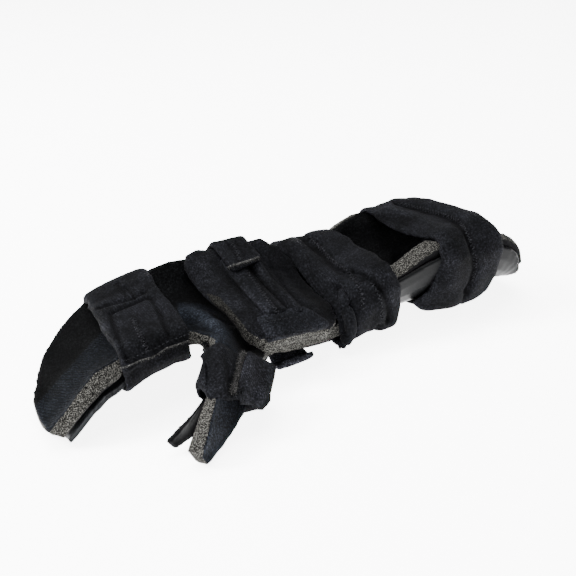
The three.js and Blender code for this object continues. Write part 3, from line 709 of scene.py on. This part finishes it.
def shell_material():
    """Semi-gloss plastic, darkened on the face towards the foam, with painted shade over the
    thumb tongue and painted light and shade from an attribute.
    """
    material, tree, shader = new_material("shell_grey", 0.38)
    shader.inputs["Specular IOR Level"].default_value = 0.02
    patches = noise_node(tree, 26.0)
    grain = noise_node(tree, 2200.0, detail=1.0)
    scuffs = noise_node(tree, 70.0, detail=6.0, roughness=0.75, stretch=(1, 4, 4))
    shade = ramp_node(tree, patches.outputs["Fac"], [(0.3, SHELL_DARK), (0.7, SHELL_GREY)])
    worn = ramp_node(tree, scuffs.outputs["Fac"],
                     [(0.35, grey(0.9)), (0.62, grey(1.0)), (0.75, grey(1.25))])
    color = multiplied(tree, shade.outputs["Color"], worn.outputs["Color"])
    color = multiplied(tree, color, attribute(tree, "painted_shading"))
    color = mix_colors(tree, attribute(tree, "darkened_shell"), color, DARKENED_SHELL_COLOR)
    tree.links.new(color, shader.inputs["Base Color"])
    bump_from(tree, shader, grain.outputs["Fac"], 0.12, 0.0002)
    return material


def fibre_material(name, color, roughness):
    material, tree, shader = new_material(name, roughness)
    shader.inputs["Specular IOR Level"].default_value = 0.03
    specks = noise_node(tree, 1100.0, detail=3.0, roughness=0.7)
    shade = ramp_node(tree, specks.outputs["Fac"],
                      [(0.38, grey(0.15)), (0.52, grey(0.9)), (0.66, grey(2.8))])
    tree.links.new(multiplied(tree, color, shade.outputs["Color"]), shader.inputs["Base Color"])
    return material


materials = {
    "shell": shell_material(),
    "liner": foam_core_material("liner_cloth", LINER_DARK, LINER_LIGHT, 0.85, ribs=True),
    "strap": strap_material(),
    "pad": foam_core_material("pad_cloth", CLOTH_DARK, CLOTH_LIGHT, 0.25),
    "flap": cloth_material("flap_cloth", FLAP_DARK, FLAP_LIGHT),
    "thread": fibre_material("thread", THREAD, 0.8),
    "fuzz": fibre_material("fuzz", FUZZ, 0.95),
}


# Pieces

def finish_piece(piece, material, node=None):
    piece.data.materials.clear()
    piece.data.materials.append(materials[material])
    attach(piece, "root")
    if node:
        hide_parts(node)


def sheet_regions(source):
    """The upper face and the back of a slab, as trees, parted from its rim at sharp corners."""
    work = bmesh.new()
    work.from_mesh(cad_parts[source].data)
    bmesh.ops.remove_doubles(work, verts=work.verts, dist=1e-5)
    bmesh.ops.dissolve_degenerate(work, dist=1e-7, edges=work.edges)
    work.faces.ensure_lookup_table()
    left, groups = set(work.faces), []
    while left:
        group, queue = [], [left.pop()]
        while queue:
            face = queue.pop()
            group.append(face)
            for edge in face.edges:
                if len(edge.link_faces) != 2:
                    continue
                other = edge.link_faces[0] if edge.link_faces[1] == face else edge.link_faces[1]
                if other in left and edge.calc_face_angle(0) < SHARP_CORNER:
                    left.discard(other)
                    queue.append(other)
        groups.append(group)
    groups.sort(key=lambda group: -sum(face.calc_area() for face in group))

    def height(group):
        return sum(face.normal.z * face.calc_area() for face in group)

    back, top = sorted(groups[:2], key=height)

    def tree(faces):
        points = [vert.co.copy() for face in faces for vert in face.verts]
        polygons, at = [], 0
        for face in faces:
            polygons.append(tuple(range(at, at + len(face.verts))))
            at += len(face.verts)
        return BVHTree.FromPolygons(points, polygons)

    trees = tree(top), tree(back)
    work.free()
    return trees


def mark_regions(piece, source):
    """Writes how far each point is into the cut edge, in millimetres, and whether it is on the
    back. Returns how far each point is from the cloth face, in millimetres."""
    top, back = sheet_regions(source)
    points = points_of(piece.data)
    from_top = distances(points, top) / MM
    from_back = distances(points, back) / MM
    set_attribute(piece.data, "cut", np.minimum(from_top - CLOTH_LAP, from_back - BACK_DEPTH))
    set_attribute(piece.data, "back", (from_back < BACK_DEPTH).astype(float))
    return from_top


# Shell

shell = remeshed("shell", "plastic_shell", 1.2 * MM, 10)
shell_top, _ = sheet_regions("plastic_shell")
shell_points = points_of(shell.data)
along, across, up = shell_points.T
from_top = distances(shell_points, shell_top)
# The face towards the foam is darkened, and the thumb tongue is painted in shade all over
darkened_shell = (from_top < 0.7 * MM) & (along > -0.235)
set_attribute(shell.data, "darkened_shell", np.maximum(darkened_shell, (across < -0.07) * 0.9))
pan_tip = 1 - eased(along, -0.245, -0.225)
under_liner = from_top < 0.9 * MM
# Painted shade towards the bottom, and painted light at the finger end, most under the liner
set_attribute(shell.data, "painted_shading", (0.45 + 0.85 * eased(up, 0.002, 0.036))
              * (1 + 5 * pan_tip + 14 * pan_tip * under_liner))
pulled(shell, [
    ([(66, 424), (87, 397), (115, 373), (135, 364)],
     [(70, 431), (90, 404), (115, 383), (135, 370)], 6),
    ([(58, 434), (71, 429), (90, 403), (118, 379), (135, 370)],
     [(59, 443), (70, 443), (93, 413), (118, 391), (135, 377)], 6),
    ([(192, 383), (179, 410), (173, 425), (166, 442)],
     [(203, 398), (192, 413), (181, 426), (169, 441)], 12),
    ([(171.5, 451), (192, 437)], [(175, 446), (192, 436)], 8),
    ([(66, 440), (71, 442)], [(58, 440), (66, 446)], 7),
    ([(188, 353), (196, 355), (203, 358), (209, 362)],
     [(190, 341), (198, 339), (207, 343), (213, 352)], 7),
    ([(150, 277), (156, 275), (170, 269), (184, 265)],
     [(152, 272), (157, 270), (169, 265), (185, 262)], 6)])
finish_piece(shell, "shell", "plastic_shell")


# Liner

liner = remeshed("liner", "foam_liner", 1.5 * MM, 10)
from_cloth = mark_regions(liner, "foam_liner")
liner_points = points_of(liner.data)
along, across, _ = liner_points.T
palm = (eased(along, -0.228, -0.214) * eased(-along, 0.105, 0.135) * eased(across, -0.026, -0.012)
        * eased(-across, -0.040, -0.028) * np.clip(1.6 - from_cloth, 0, 1))
liner_points[:, 2] -= 7 * MM * palm
set_points(liner.data, liner_points)
pulled(liner, [
    ([(86, 308), (70, 328), (52, 350), (39, 375), (35, 395), (37, 407), (46, 419)],
     [(81, 308), (61, 331), (48, 350), (37, 376), (35, 395), (37, 410), (44, 425)], 12),
    ([(50, 421), (61, 431)], [(52, 428), (64, 437)], 7),
    ([(50, 421), (70, 391), (90, 373), (118, 359)],
     [(52, 430), (74, 397), (92, 375), (114, 364)], 6),
    ([(61, 431), (75, 413), (90, 393), (104, 381), (118, 370)],
     [(65, 437), (77, 421), (92, 402), (105, 389), (118, 378)], 5),
    ([(207, 374), (203, 405), (193, 443), (204, 458), (213, 456)],
     [(209, 385), (204, 411), (189, 450), (197, 460), (206, 463)], 7),
    ([(246, 403), (232, 433), (216, 453)], [(248, 406), (229, 438), (211, 459)], 8),
    ([(190, 346), (201, 352)], [(195, 342), (207, 346)], 7),
    ([(188, 336), (199, 336), (207, 340), (212, 343)],
     [(188, 332), (199, 332), (209, 336), (216, 342)], 4),
    ([(400, 259), (415, 251), (430, 244)], [(396, 260), (411, 248), (424, 240.5)], 6),
    ([(150, 277), (156, 275), (170, 269), (184, 265)],
     [(152, 270), (157, 268), (169, 263), (185, 260)], 6),
    ([(337, 229), (353, 219), (372, 216)], [(333, 229), (350, 216.5), (366, 211.5)], 4),
    ([(400, 271), (405, 268), (425, 259), (445, 251)],
     [(394, 281), (400, 278), (422, 263), (440, 253)], 6)])
liner_points = points_of(liner.data)
along, across, _ = liner_points.T
liner_seen = picture_places(liner_points)[0]
past_crease = (liner_seen[:, 0] - 47) * 58 + (liner_seen[:, 1] - 391) * 52
pan_floor = np.clip((-0.226 - along) / 0.012, 0, 1) * np.clip(past_crease / 150, 0, 1)
set_attribute(liner.data, "ribbed", pan_floor * eased(across, -0.062, -0.052))
# The pan's floor, the roll of cloth by the thumb and the thumb tongue are marked lit; the liner's
# other cloth takes painted shade
web = patch(liner, WEB_OUTLINE, 3)
on_tongue = (across < -0.058).astype(float)
set_attribute(liner.data, "lit", np.maximum.reduce([pan_floor, web, on_tongue]))
# The cut foam towards the forearm end is painted in shade
set_attribute(liner.data, "foam_in_painted_shade", eased(along, -0.15, -0.10))
wrapped = eased(along, -0.245, -0.235) * eased(-along, 0.175, 0.185) * (across > 0.01)
set_attribute(liner.data, "cut", attribute_of(liner.data, "cut") - 9 * wrapped)
web_roll = seen_path(tree_of(liner.data), [
    (178, 316), (190, 315), (203, 318), (213, 326), (220, 337), (225, 350)])
pressed(liner, [(web_roll, 4.5 * MM, 9 * MM)])
# Painted shade in the liner's folds, with strokes of painted light
shade_folds(liner, 2.5, strokes=[
    ([(215, 372), (225, 395), (215, 425), (205, 450)], 14, 2.1),
    ([(181, 313), (197, 314), (210, 321), (219, 333)], 8, 3.2),
    ([(350, 236), (385, 238), (420, 246)], 25, 2.4),
    ([(160, 285), (178, 275)], 14, 3.0)])
finish_piece(liner, "liner", "foam_liner")


# Straps

def strap(name, node, voxel, rounds, swell=0.0):
    """A fine copy of a strap's solid, which its filling may swell by so much."""
    piece = remeshed(name, node, voxel, rounds)
    if swell:
        puffed(piece, SWELLING, swell)
    subdivided(piece)
    return piece


def level_lap(piece):
    """Levels the step where the second layer of the finger strap begins on the far side."""
    _, across, up = points_of(piece.data).T
    normals = normals_of(piece.data)
    beyond = eased(across, 0.0155, 0.0195) * eased(up, 0.028, 0.047)
    outer = np.clip((normals[:, 2] + normals[:, 1]) * 2, 0, 1)
    lifted(piece, 3.4 * MM * beyond * outer)


forearm = strap("forearm_band", "forearm_strap", 1.8 * MM, 14, swell=1.0 * MM)
wrist = strap("wrist_band", "wrist_strap", 1.8 * MM, 14, swell=1.0 * MM)
finger = strap("finger_band", "finger_strap", 1.6 * MM, 8)
thumb = strap("thumb_band", "thumb_strap", 1.4 * MM, 8)
hand = strap("hand_band", "hand_strap", 1.4 * MM, 8)
pad_band = strap("pad_band", "pad_strap", 1.0 * MM, 4)
pad_tab = strap("pad_tab", "pad_flap", 1.0 * MM, 4)

pad = remeshed("back_pad", "hand_pad", 2.0 * MM, 6)
mark_regions(pad, "hand_pad")
puffed(pad, SWELLING, 1.2 * MM)
subdivided(pad)

# Each piece brought to its place in the picture

pulled(forearm, [
    ([(373, 204), (391, 203), (405, 198), (430, 206), (453, 214), (475, 220), (491, 226)],
     [(375, 206), (391, 200), (406, 198.5), (430, 201), (453, 207), (477, 213), (492, 223)], 10),
    ([(495, 275), (485, 296), (461, 301)], [(496, 275), (483, 292), (461, 303)], 9),
    ([(446, 254), (445, 267), (441, 279), (437, 289), (436, 303)],
     [(439, 254), (437, 268), (432, 280), (424, 291), (413, 301)], 10)])
pulled(wrist, [
    ([(297, 241), (306, 237), (319, 226), (329, 227), (342, 238)],
     [(294, 238), (306, 235), (321, 230), (333, 231), (347, 238)], 10),
    ([(389, 257), (401, 265), (406, 275), (404, 293)],
     [(384, 262), (392, 271), (399, 282), (401, 294)], 10),
    ([(331, 339), (339, 344)], [(334, 338), (341, 344)], 8)])
level_lap(finger)
_, across, up = points_of(finger.data).T
top_mask = eased(across, -0.014, 0.0) * eased(up, 0.03, 0.045)
smoothed(finger.data, 70, mask=top_mask, shrink=0.0)
smoothed(finger.data, 120, mask=top_mask)
pulled(finger, [
    ([(80, 299), (82, 296), (110, 283), (144, 269)],
     [(84.5, 301), (85, 298), (112, 283.5), (147, 270)], 9),
    ([(124, 386), (150, 373), (162, 365), (188, 363)],
     [(128, 391), (151, 376), (166, 366), (191, 358)], 8)])
pulled(thumb, [
    ([(191, 383), (197, 380), (207, 373), (224, 375), (234, 390), (242, 410), (247, 414), (254, 408)],
     [(197, 391), (202, 394), (209, 397), (228, 398), (236, 400), (244, 405), (253, 408), (260, 407)],
     11, 9 * MM),
    ([(192, 366), (188, 377)], [(204, 360), (199, 383)], 9, 5 * MM),
    ([(269, 372), (262, 392), (254, 408)], [(274, 372), (270, 391), (262, 405)], 9)])
pulled(hand, [
    ([(274, 357), (285, 359), (298, 357), (311, 351)],
     [(275, 368), (284, 369), (299, 364), (313, 355)], 8)])
pulled(pad_band, [
    ([(256, 268), (262, 277), (273, 293), (284, 308)],
     [(264, 264), (271, 274), (285, 292), (297, 310)], 8)])
pulled(pad_tab, [([(270, 318), (273, 337)], [(260, 322), (261, 341)], 9)])
pulled(pad, [
    ([(210, 248), (194, 264), (192, 268), (204, 292), (220, 316), (238, 336), (252, 343)],
     [(203, 249), (186, 257), (184, 268), (201, 294), (218, 313), (237, 334), (250, 346)], 9),
    ([(252, 343), (266, 346), (285, 343), (304, 340), (318, 335), (328, 329), (336, 320)],
     [(252, 347), (264, 354), (285, 351), (304, 348), (319, 343), (332, 337), (338, 327)], 4.5),
    ([(262, 339), (270, 338), (304, 332), (324, 325), (336, 314)],
     [(260, 341), (268, 338), (304, 332), (324, 325), (337, 312)], 3.5),
    ([(288, 258), (304, 286), (322, 304)], [(296, 258), (311, 284), (329, 302)], 8)])

# The pad's end sinks at the wrist, its far corner's foam is covered, and the flap stands up
pad_points = points_of(pad.data)
pad_points[:, 2] -= 3.5 * MM * eased(pad_points[:, 0], -0.130, -0.117)
set_points(pad.data, pad_points)
pad_seen = picture_places(pad_points)[0]
# The pad's foam edge on the camera's left is painted in shade
set_attribute(pad.data, "foam_in_painted_shade", 1 - eased(pad_seen[:, 0], 238, 262))
folded_over = 1 - eased(pad_seen[:, 0], 203, 222)
set_attribute(pad.data, "cut", attribute_of(pad.data, "cut") - 4 * folded_over)
lifted(pad_tab, 2.6 * MM)

# Folds, seams and imprints, along lines seen in the picture

forearm_tree = tree_of(forearm.data)
forearm_groove = seen_path(forearm_tree, [
    (398, 203), (412, 206), (430, 211), (447, 216), (458, 221), (466, 230), (471, 242),
    (475, 256), (476, 270), (472, 284), (467, 291)])
forearm_under = turn_path(forearm_tree, FOREARM_SEAM, 195, 372)
forearm_lip = seen_path(forearm_tree, [
    (368, 214), (385, 219), (405, 224), (425, 234), (436, 246), (441, 262), (439, 280)])
forearm_crown = seen_path(forearm_tree, [
    (385, 211), (405, 214), (424, 221), (441, 230), (452, 243), (456, 262), (453, 282)])
pressed(forearm, [
    (forearm_groove, -3.4 * MM, 3.6 * MM), (forearm_crown, 2.2 * MM, 6.5 * MM),
    (forearm_under, -2.0 * MM, 2.4 * MM), (forearm_lip, -0.9 * MM, 1.8 * MM)])

wrist_tree = tree_of(wrist.data)
wrist_groove = seen_path(wrist_tree, [
    (306, 237), (312, 243), (320, 249), (327, 255), (333, 263), (341, 269), (350, 273), (360, 277)])
wrist_side = seen_path(wrist_tree, [
    (350, 271), (360, 274), (372, 280), (381, 289), (387, 300), (390, 312), (389, 322)])
wrist_fold = seen_path(wrist_tree, [
    (338, 288), (344, 299), (350, 312), (355, 325), (355, 336)])
wrist_under = turn_path(wrist_tree, WRIST_SEAM, 200, 400)
wrist_crown = seen_path(wrist_tree, [(296, 246), (307, 259), (318, 271), (330, 282)])
pressed(wrist, [
    (wrist_groove, -4.4 * MM, 4.2 * MM), (wrist_side, -2.8 * MM, 2.4 * MM),
    (wrist_crown, 2.4 * MM, 6.0 * MM), (wrist_fold, -2.4 * MM, 2.2 * MM),
    (wrist_under, -2.0 * MM, 2.4 * MM)])

finger_tree = tree_of(finger.data)
finger_print = seen_path(finger_tree, [
    (128, 358), (125, 352), (118, 337), (113, 322), (110.5, 312.5), (121, 308), (135, 302),
    (145, 297.5), (151, 297.5), (160, 312), (166, 327), (170.5, 335)])
finger_crease = seen_path(finger_tree, [(100, 307), (115, 302), (131, 298), (145, 291)])
pressed(finger, [
    (finger_print, -2.2 * MM, 1.9 * MM), (finger_crease, -2.0 * MM, 2.2 * MM),
    (seen_path(finger_tree, [(117, 283), (123, 290), (128, 297)]), -1.8 * MM, 1.6 * MM),
    (seen_path(finger_tree, [(125, 286), (131, 291), (135, 296)]), -1.6 * MM, 1.6 * MM)])

# The pad strap has two ridges along it, and its near end goes down to the pad's edge
band_groove = seen_path(tree_of(pad_band.data), [(255, 271), (268, 291), (282, 308), (286, 314)])
band_points, band_normals = points_of(pad_band.data), normals_of(pad_band.data)
band_across = (band_points[:, 0] - BAND_MIDDLE) / MM
ridge_one = np.clip(1 - ((band_across + 5) / 9) ** 2, 0, 1)
ridge_two = np.clip(1 - ((band_across - 9) / 5) ** 2, 0, 1)
ridges = np.maximum(ridge_one, ridge_two * 0.9) * np.clip(band_normals[:, 2] * 2, 0, 1)
band_points += band_normals * (4.2 * MM * ridges)[:, None]
band_points[:, 2] -= 4.5 * MM * eased(picture_places(band_points)[0][:, 1], 308, 316)
set_points(pad_band.data, band_points)
pressed(pad_band, [(band_groove, -0.5 * MM, 1.1 * MM)])

hand_tree = tree_of(hand.data)
pressed(hand, [
    (seen_path(hand_tree, [(229, 244), (235, 253), (240, 262)]), -1.1 * MM, 1.3 * MM),
    (seen_path(hand_tree, [(236, 241), (242, 250), (247, 259)]), -1.0 * MM, 1.3 * MM)])

for piece, seed in ((forearm, 1), (wrist, 2), (finger, 3), (thumb, 4), (hand, 5), (pad, 6)):
    roughened(piece, 0.45 * MM, 14 * MM, seed)
    roughened(piece, 0.12 * MM, 3.5 * MM, seed + 9)

raised(thumb, TAB_OUTLINE, 2.4 * MM, 1.6)
thumb_crease = seen_path(tree_of(thumb.data), [(226, 352), (229, 370), (231, 392)])
pressed(thumb, [(thumb_crease, -1.5 * MM, 3 * MM)])


def wrist_roll_end():
    """The rolled end of the wrist strap's upper layer, laid on the strap as a thick tube."""
    places, reach = [], 0.5
    line = [(340, 289), (345, 305), (350, 320), (351, 332), (345, 342), (338, 346)]
    for x, y in line_samples(line, 4):
        ray = picture_ray(x, y)
        place, _, _, length = wrist_tree.ray_cast(CAMERA_AT, ray)
        reach = length if place else reach
        places.append(CAMERA_AT + ray * (reach - 1.5 * MM))
    radii = [MM * (1.5 + 2.8 * math.sin(math.pi * min(i / 10, 0.5)) * (1 - 0.4 * eased(i, 16, 20)))
             for i in range(len(places))]
    tubes = Tubes()
    tubes.add(places, radii, sides=20)
    return tubes.build("wrist_roll")


roll = wrist_roll_end()
subdivided(roll)
roughened(roll, 0.3 * MM, 9 * MM, 21)

# Painted shade in the folds and painted light on the ridges, with strokes of painted light and shade
for piece in (roll, finger, thumb):
    shade_folds(piece)
shade_folds(forearm, strokes=[([(388, 207), (420, 212), (446, 226)], 5, 1.9)])
shade_folds(wrist, strokes=[([(284, 246), (302, 276), (330, 305)], 4, 0.6)])
shade_folds(pad, strokes=[
    ([(283, 240), (301, 275), (330, 306), (343, 322)], 7, 0.4),
    ([(288, 262), (306, 292)], 8, 0.6), ([(206, 262), (225, 290), (246, 318)], 8, 1.35),
    ([(215, 262), (238, 290), (260, 322)], 3, 0.5), ([(270, 262), (300, 308)], 3, 0.55)])
shade_folds(pad_band, strokes=[
    ([(222, 268), (240, 290), (262, 319)], 2, 0.5), ([(236, 277), (256, 300), (270, 314)], 3, 1.5),
    ([(250, 271), (266, 293), (282, 314)], 1.5, 0.4),
    ([(260, 269), (276, 292), (290, 310)], 2.5, 1.5)])
shade_folds(hand, strokes=[([(268, 364), (285, 362), (310, 353)], 16, 6)])
shade_folds(pad_tab)
# The thumb strap's raised end is painted lighter
lighter = 1 + 0.6 * patch(thumb, TAB_OUTLINE, 2)
set_attribute(thumb.data, "painted_shading", attribute_of(thumb.data, "painted_shading") * lighter)

for piece, node in (
        (forearm, "forearm_strap"), (wrist, "wrist_strap"), (finger, "finger_strap"),
        (thumb, "thumb_strap"), (hand, "hand_strap"), (pad_band, "pad_strap"), (roll, "wrist_strap")):
    finish_piece(piece, "strap", node)
finish_piece(pad, "pad", "hand_pad")
finish_piece(pad_tab, "flap", "pad_flap")


# Stitches

def sewn(name, surface, zigzags=(), runs=()):
    """Threads along lines in the picture: zigzags of (line, step, swing) and running stitches of
    (line, step), in millimetres."""
    tubes = Tubes()
    tree = tree_of(surface.data)
    for corners, step, swing in zigzags:
        path = seen_path(tree, corners)
        if len(path[0]) > 3:
            zigzag(tubes, path, step * MM, swing * MM)
    for corners, step in runs:
        path = seen_path(tree, corners)
        if len(path[0]) > 3:
            running(tubes, path, step * MM)
    finish_piece(tubes.build(name), "thread")


sewn("forearm_thread", forearm, zigzags=[
    ([(400, 203.5), (430, 211), (447, 216), (458, 221), (466, 230), (471, 242), (475, 256),
      (475, 270), (471, 283)], 1.5, 1.5)])
sewn("wrist_thread", wrist, zigzags=[
    ([(309, 237), (320, 248), (331, 260), (345, 270), (356, 281), (362, 295), (364, 312)], 1.5, 1.6),
    ([(372, 283), (378, 293), (381, 306), (382, 321)], 1.5, 1.4)])
sewn("finger_thread", finger, zigzags=[
    ([(133, 318), (138, 330), (144, 343), (149, 353)], 1.5, 1.7)],
    runs=[([(116, 363), (128, 360), (141, 354), (156, 348), (167, 342), (188, 334)], 3.0)])
sewn("band_thread", pad_band, zigzags=[
    ([(247, 271), (257, 284), (267, 299), (277, 312), (281, 316)], 1.4, 1.6)])
sewn("tab_thread", pad_tab, runs=[
    ([(263, 323), (283, 319), (296, 317), (306, 323), (316, 332)], 2.6),
    ([(262, 338), (285, 335), (310, 331)], 2.6)])
sewn("hand_thread", hand, zigzags=[([(231, 243), (237, 253), (243, 262)], 1.4, 1.4)])


# Raw ends

def raw_end(name, surface, corners, radius, outward, hairs, hair_length):
    path = seen_path(tree_of(surface.data), corners)
    edge = raw_edge(name, path, radius, outward, hairs, hair_length)
    finish_piece(edge, "fuzz")


raw_end("finger_fray", finger, [
    (116, 369), (128, 366), (141, 360), (150, 357.5), (156, 355), (166, 348), (178, 344),
    (190.5, 339.8)],
    0.5 * MM, (0, -0.5, -0.8), 500, 1.0 * MM)
raw_end("hand_fray", hand, [
    (223.5, 268.7), (233, 265.5), (246.7, 261.5), (260, 256.5)],
    0.8 * MM, (0, -0.6, -0.4), 900, 1.6 * MM)
raw_end("thumb_fray", thumb, [
    (246.4, 353), (241.5, 360), (238.5, 372), (236, 385), (234, 394)],
    1.7 * MM, (-0.8, -0.3, 0.2), 1500, 2.0 * MM)


# Stage, lights and camera

def add_floor():
    mesh = bpy.data.meshes.new("floor")
    corners = [(x * FLOOR_HALF, y * FLOOR_HALF, 0) for x, y in ((-1, -1), (1, -1), (1, 1), (-1, 1))]
    mesh.from_pydata(corners, [], [(0, 1, 2, 3)])
    floor = link("floor", mesh)
    floor.location.z = -FLOOR_DROP
    material, _, shader = new_material("floor_white", 0.9)
    shader.inputs["Base Color"].default_value = FLOOR_WHITE
    shader.inputs["Specular IOR Level"].default_value = 0.0
    shader.inputs["Emission Color"].default_value = WHITE
    shader.inputs["Emission Strength"].default_value = FLOOR_GLOW
    mesh.materials.append(material)


def add_light(name, place, target, size, power):
    data = bpy.data.lights.new(name, "AREA")
    data.shape = "RECTANGLE"
    data.size, data.size_y = size
    data.energy = power
    light = bpy.data.objects.new(name, data)
    bpy.context.scene.collection.objects.link(light)
    light.location = place
    light.rotation_euler = (Vector(target) - Vector(place)).to_track_quat("-Z", "Y").to_euler()


def add_camera():
    data = bpy.data.cameras.new("camera")
    data.lens = CAMERA_LENS
    data.sensor_width = SENSOR
    data.clip_start, data.clip_end = 0.01, 20.0
    camera = bpy.data.objects.new("camera", data)
    bpy.context.scene.collection.objects.link(camera)
    camera.location = CAMERA_AT
    camera.rotation_euler = (CAMERA_TO - CAMERA_AT).to_track_quat("-Z", "Y").to_euler()
    bpy.context.scene.camera = camera


def add_world():
    world = bpy.data.worlds.new("studio")
    world.use_nodes = True
    background = world.node_tree.nodes["Background"]
    background.inputs["Color"].default_value = WHITE
    background.inputs["Strength"].default_value = WORLD_GLOW
    bpy.context.scene.world = world


add_floor()
add_world()
add_light("above", (-0.3, 0.3, 1.8), (-0.12, 0, 0), (1.6, 1.6), 110)
add_light("key", (-1.3, 0.5, 1.1), (-0.12, 0, 0), (0.5, 0.5), 75)
add_light("front", (-0.5, -1.4, 0.9), (-0.12, 0, 0.03), (0.6, 0.6), 10)
add_camera()
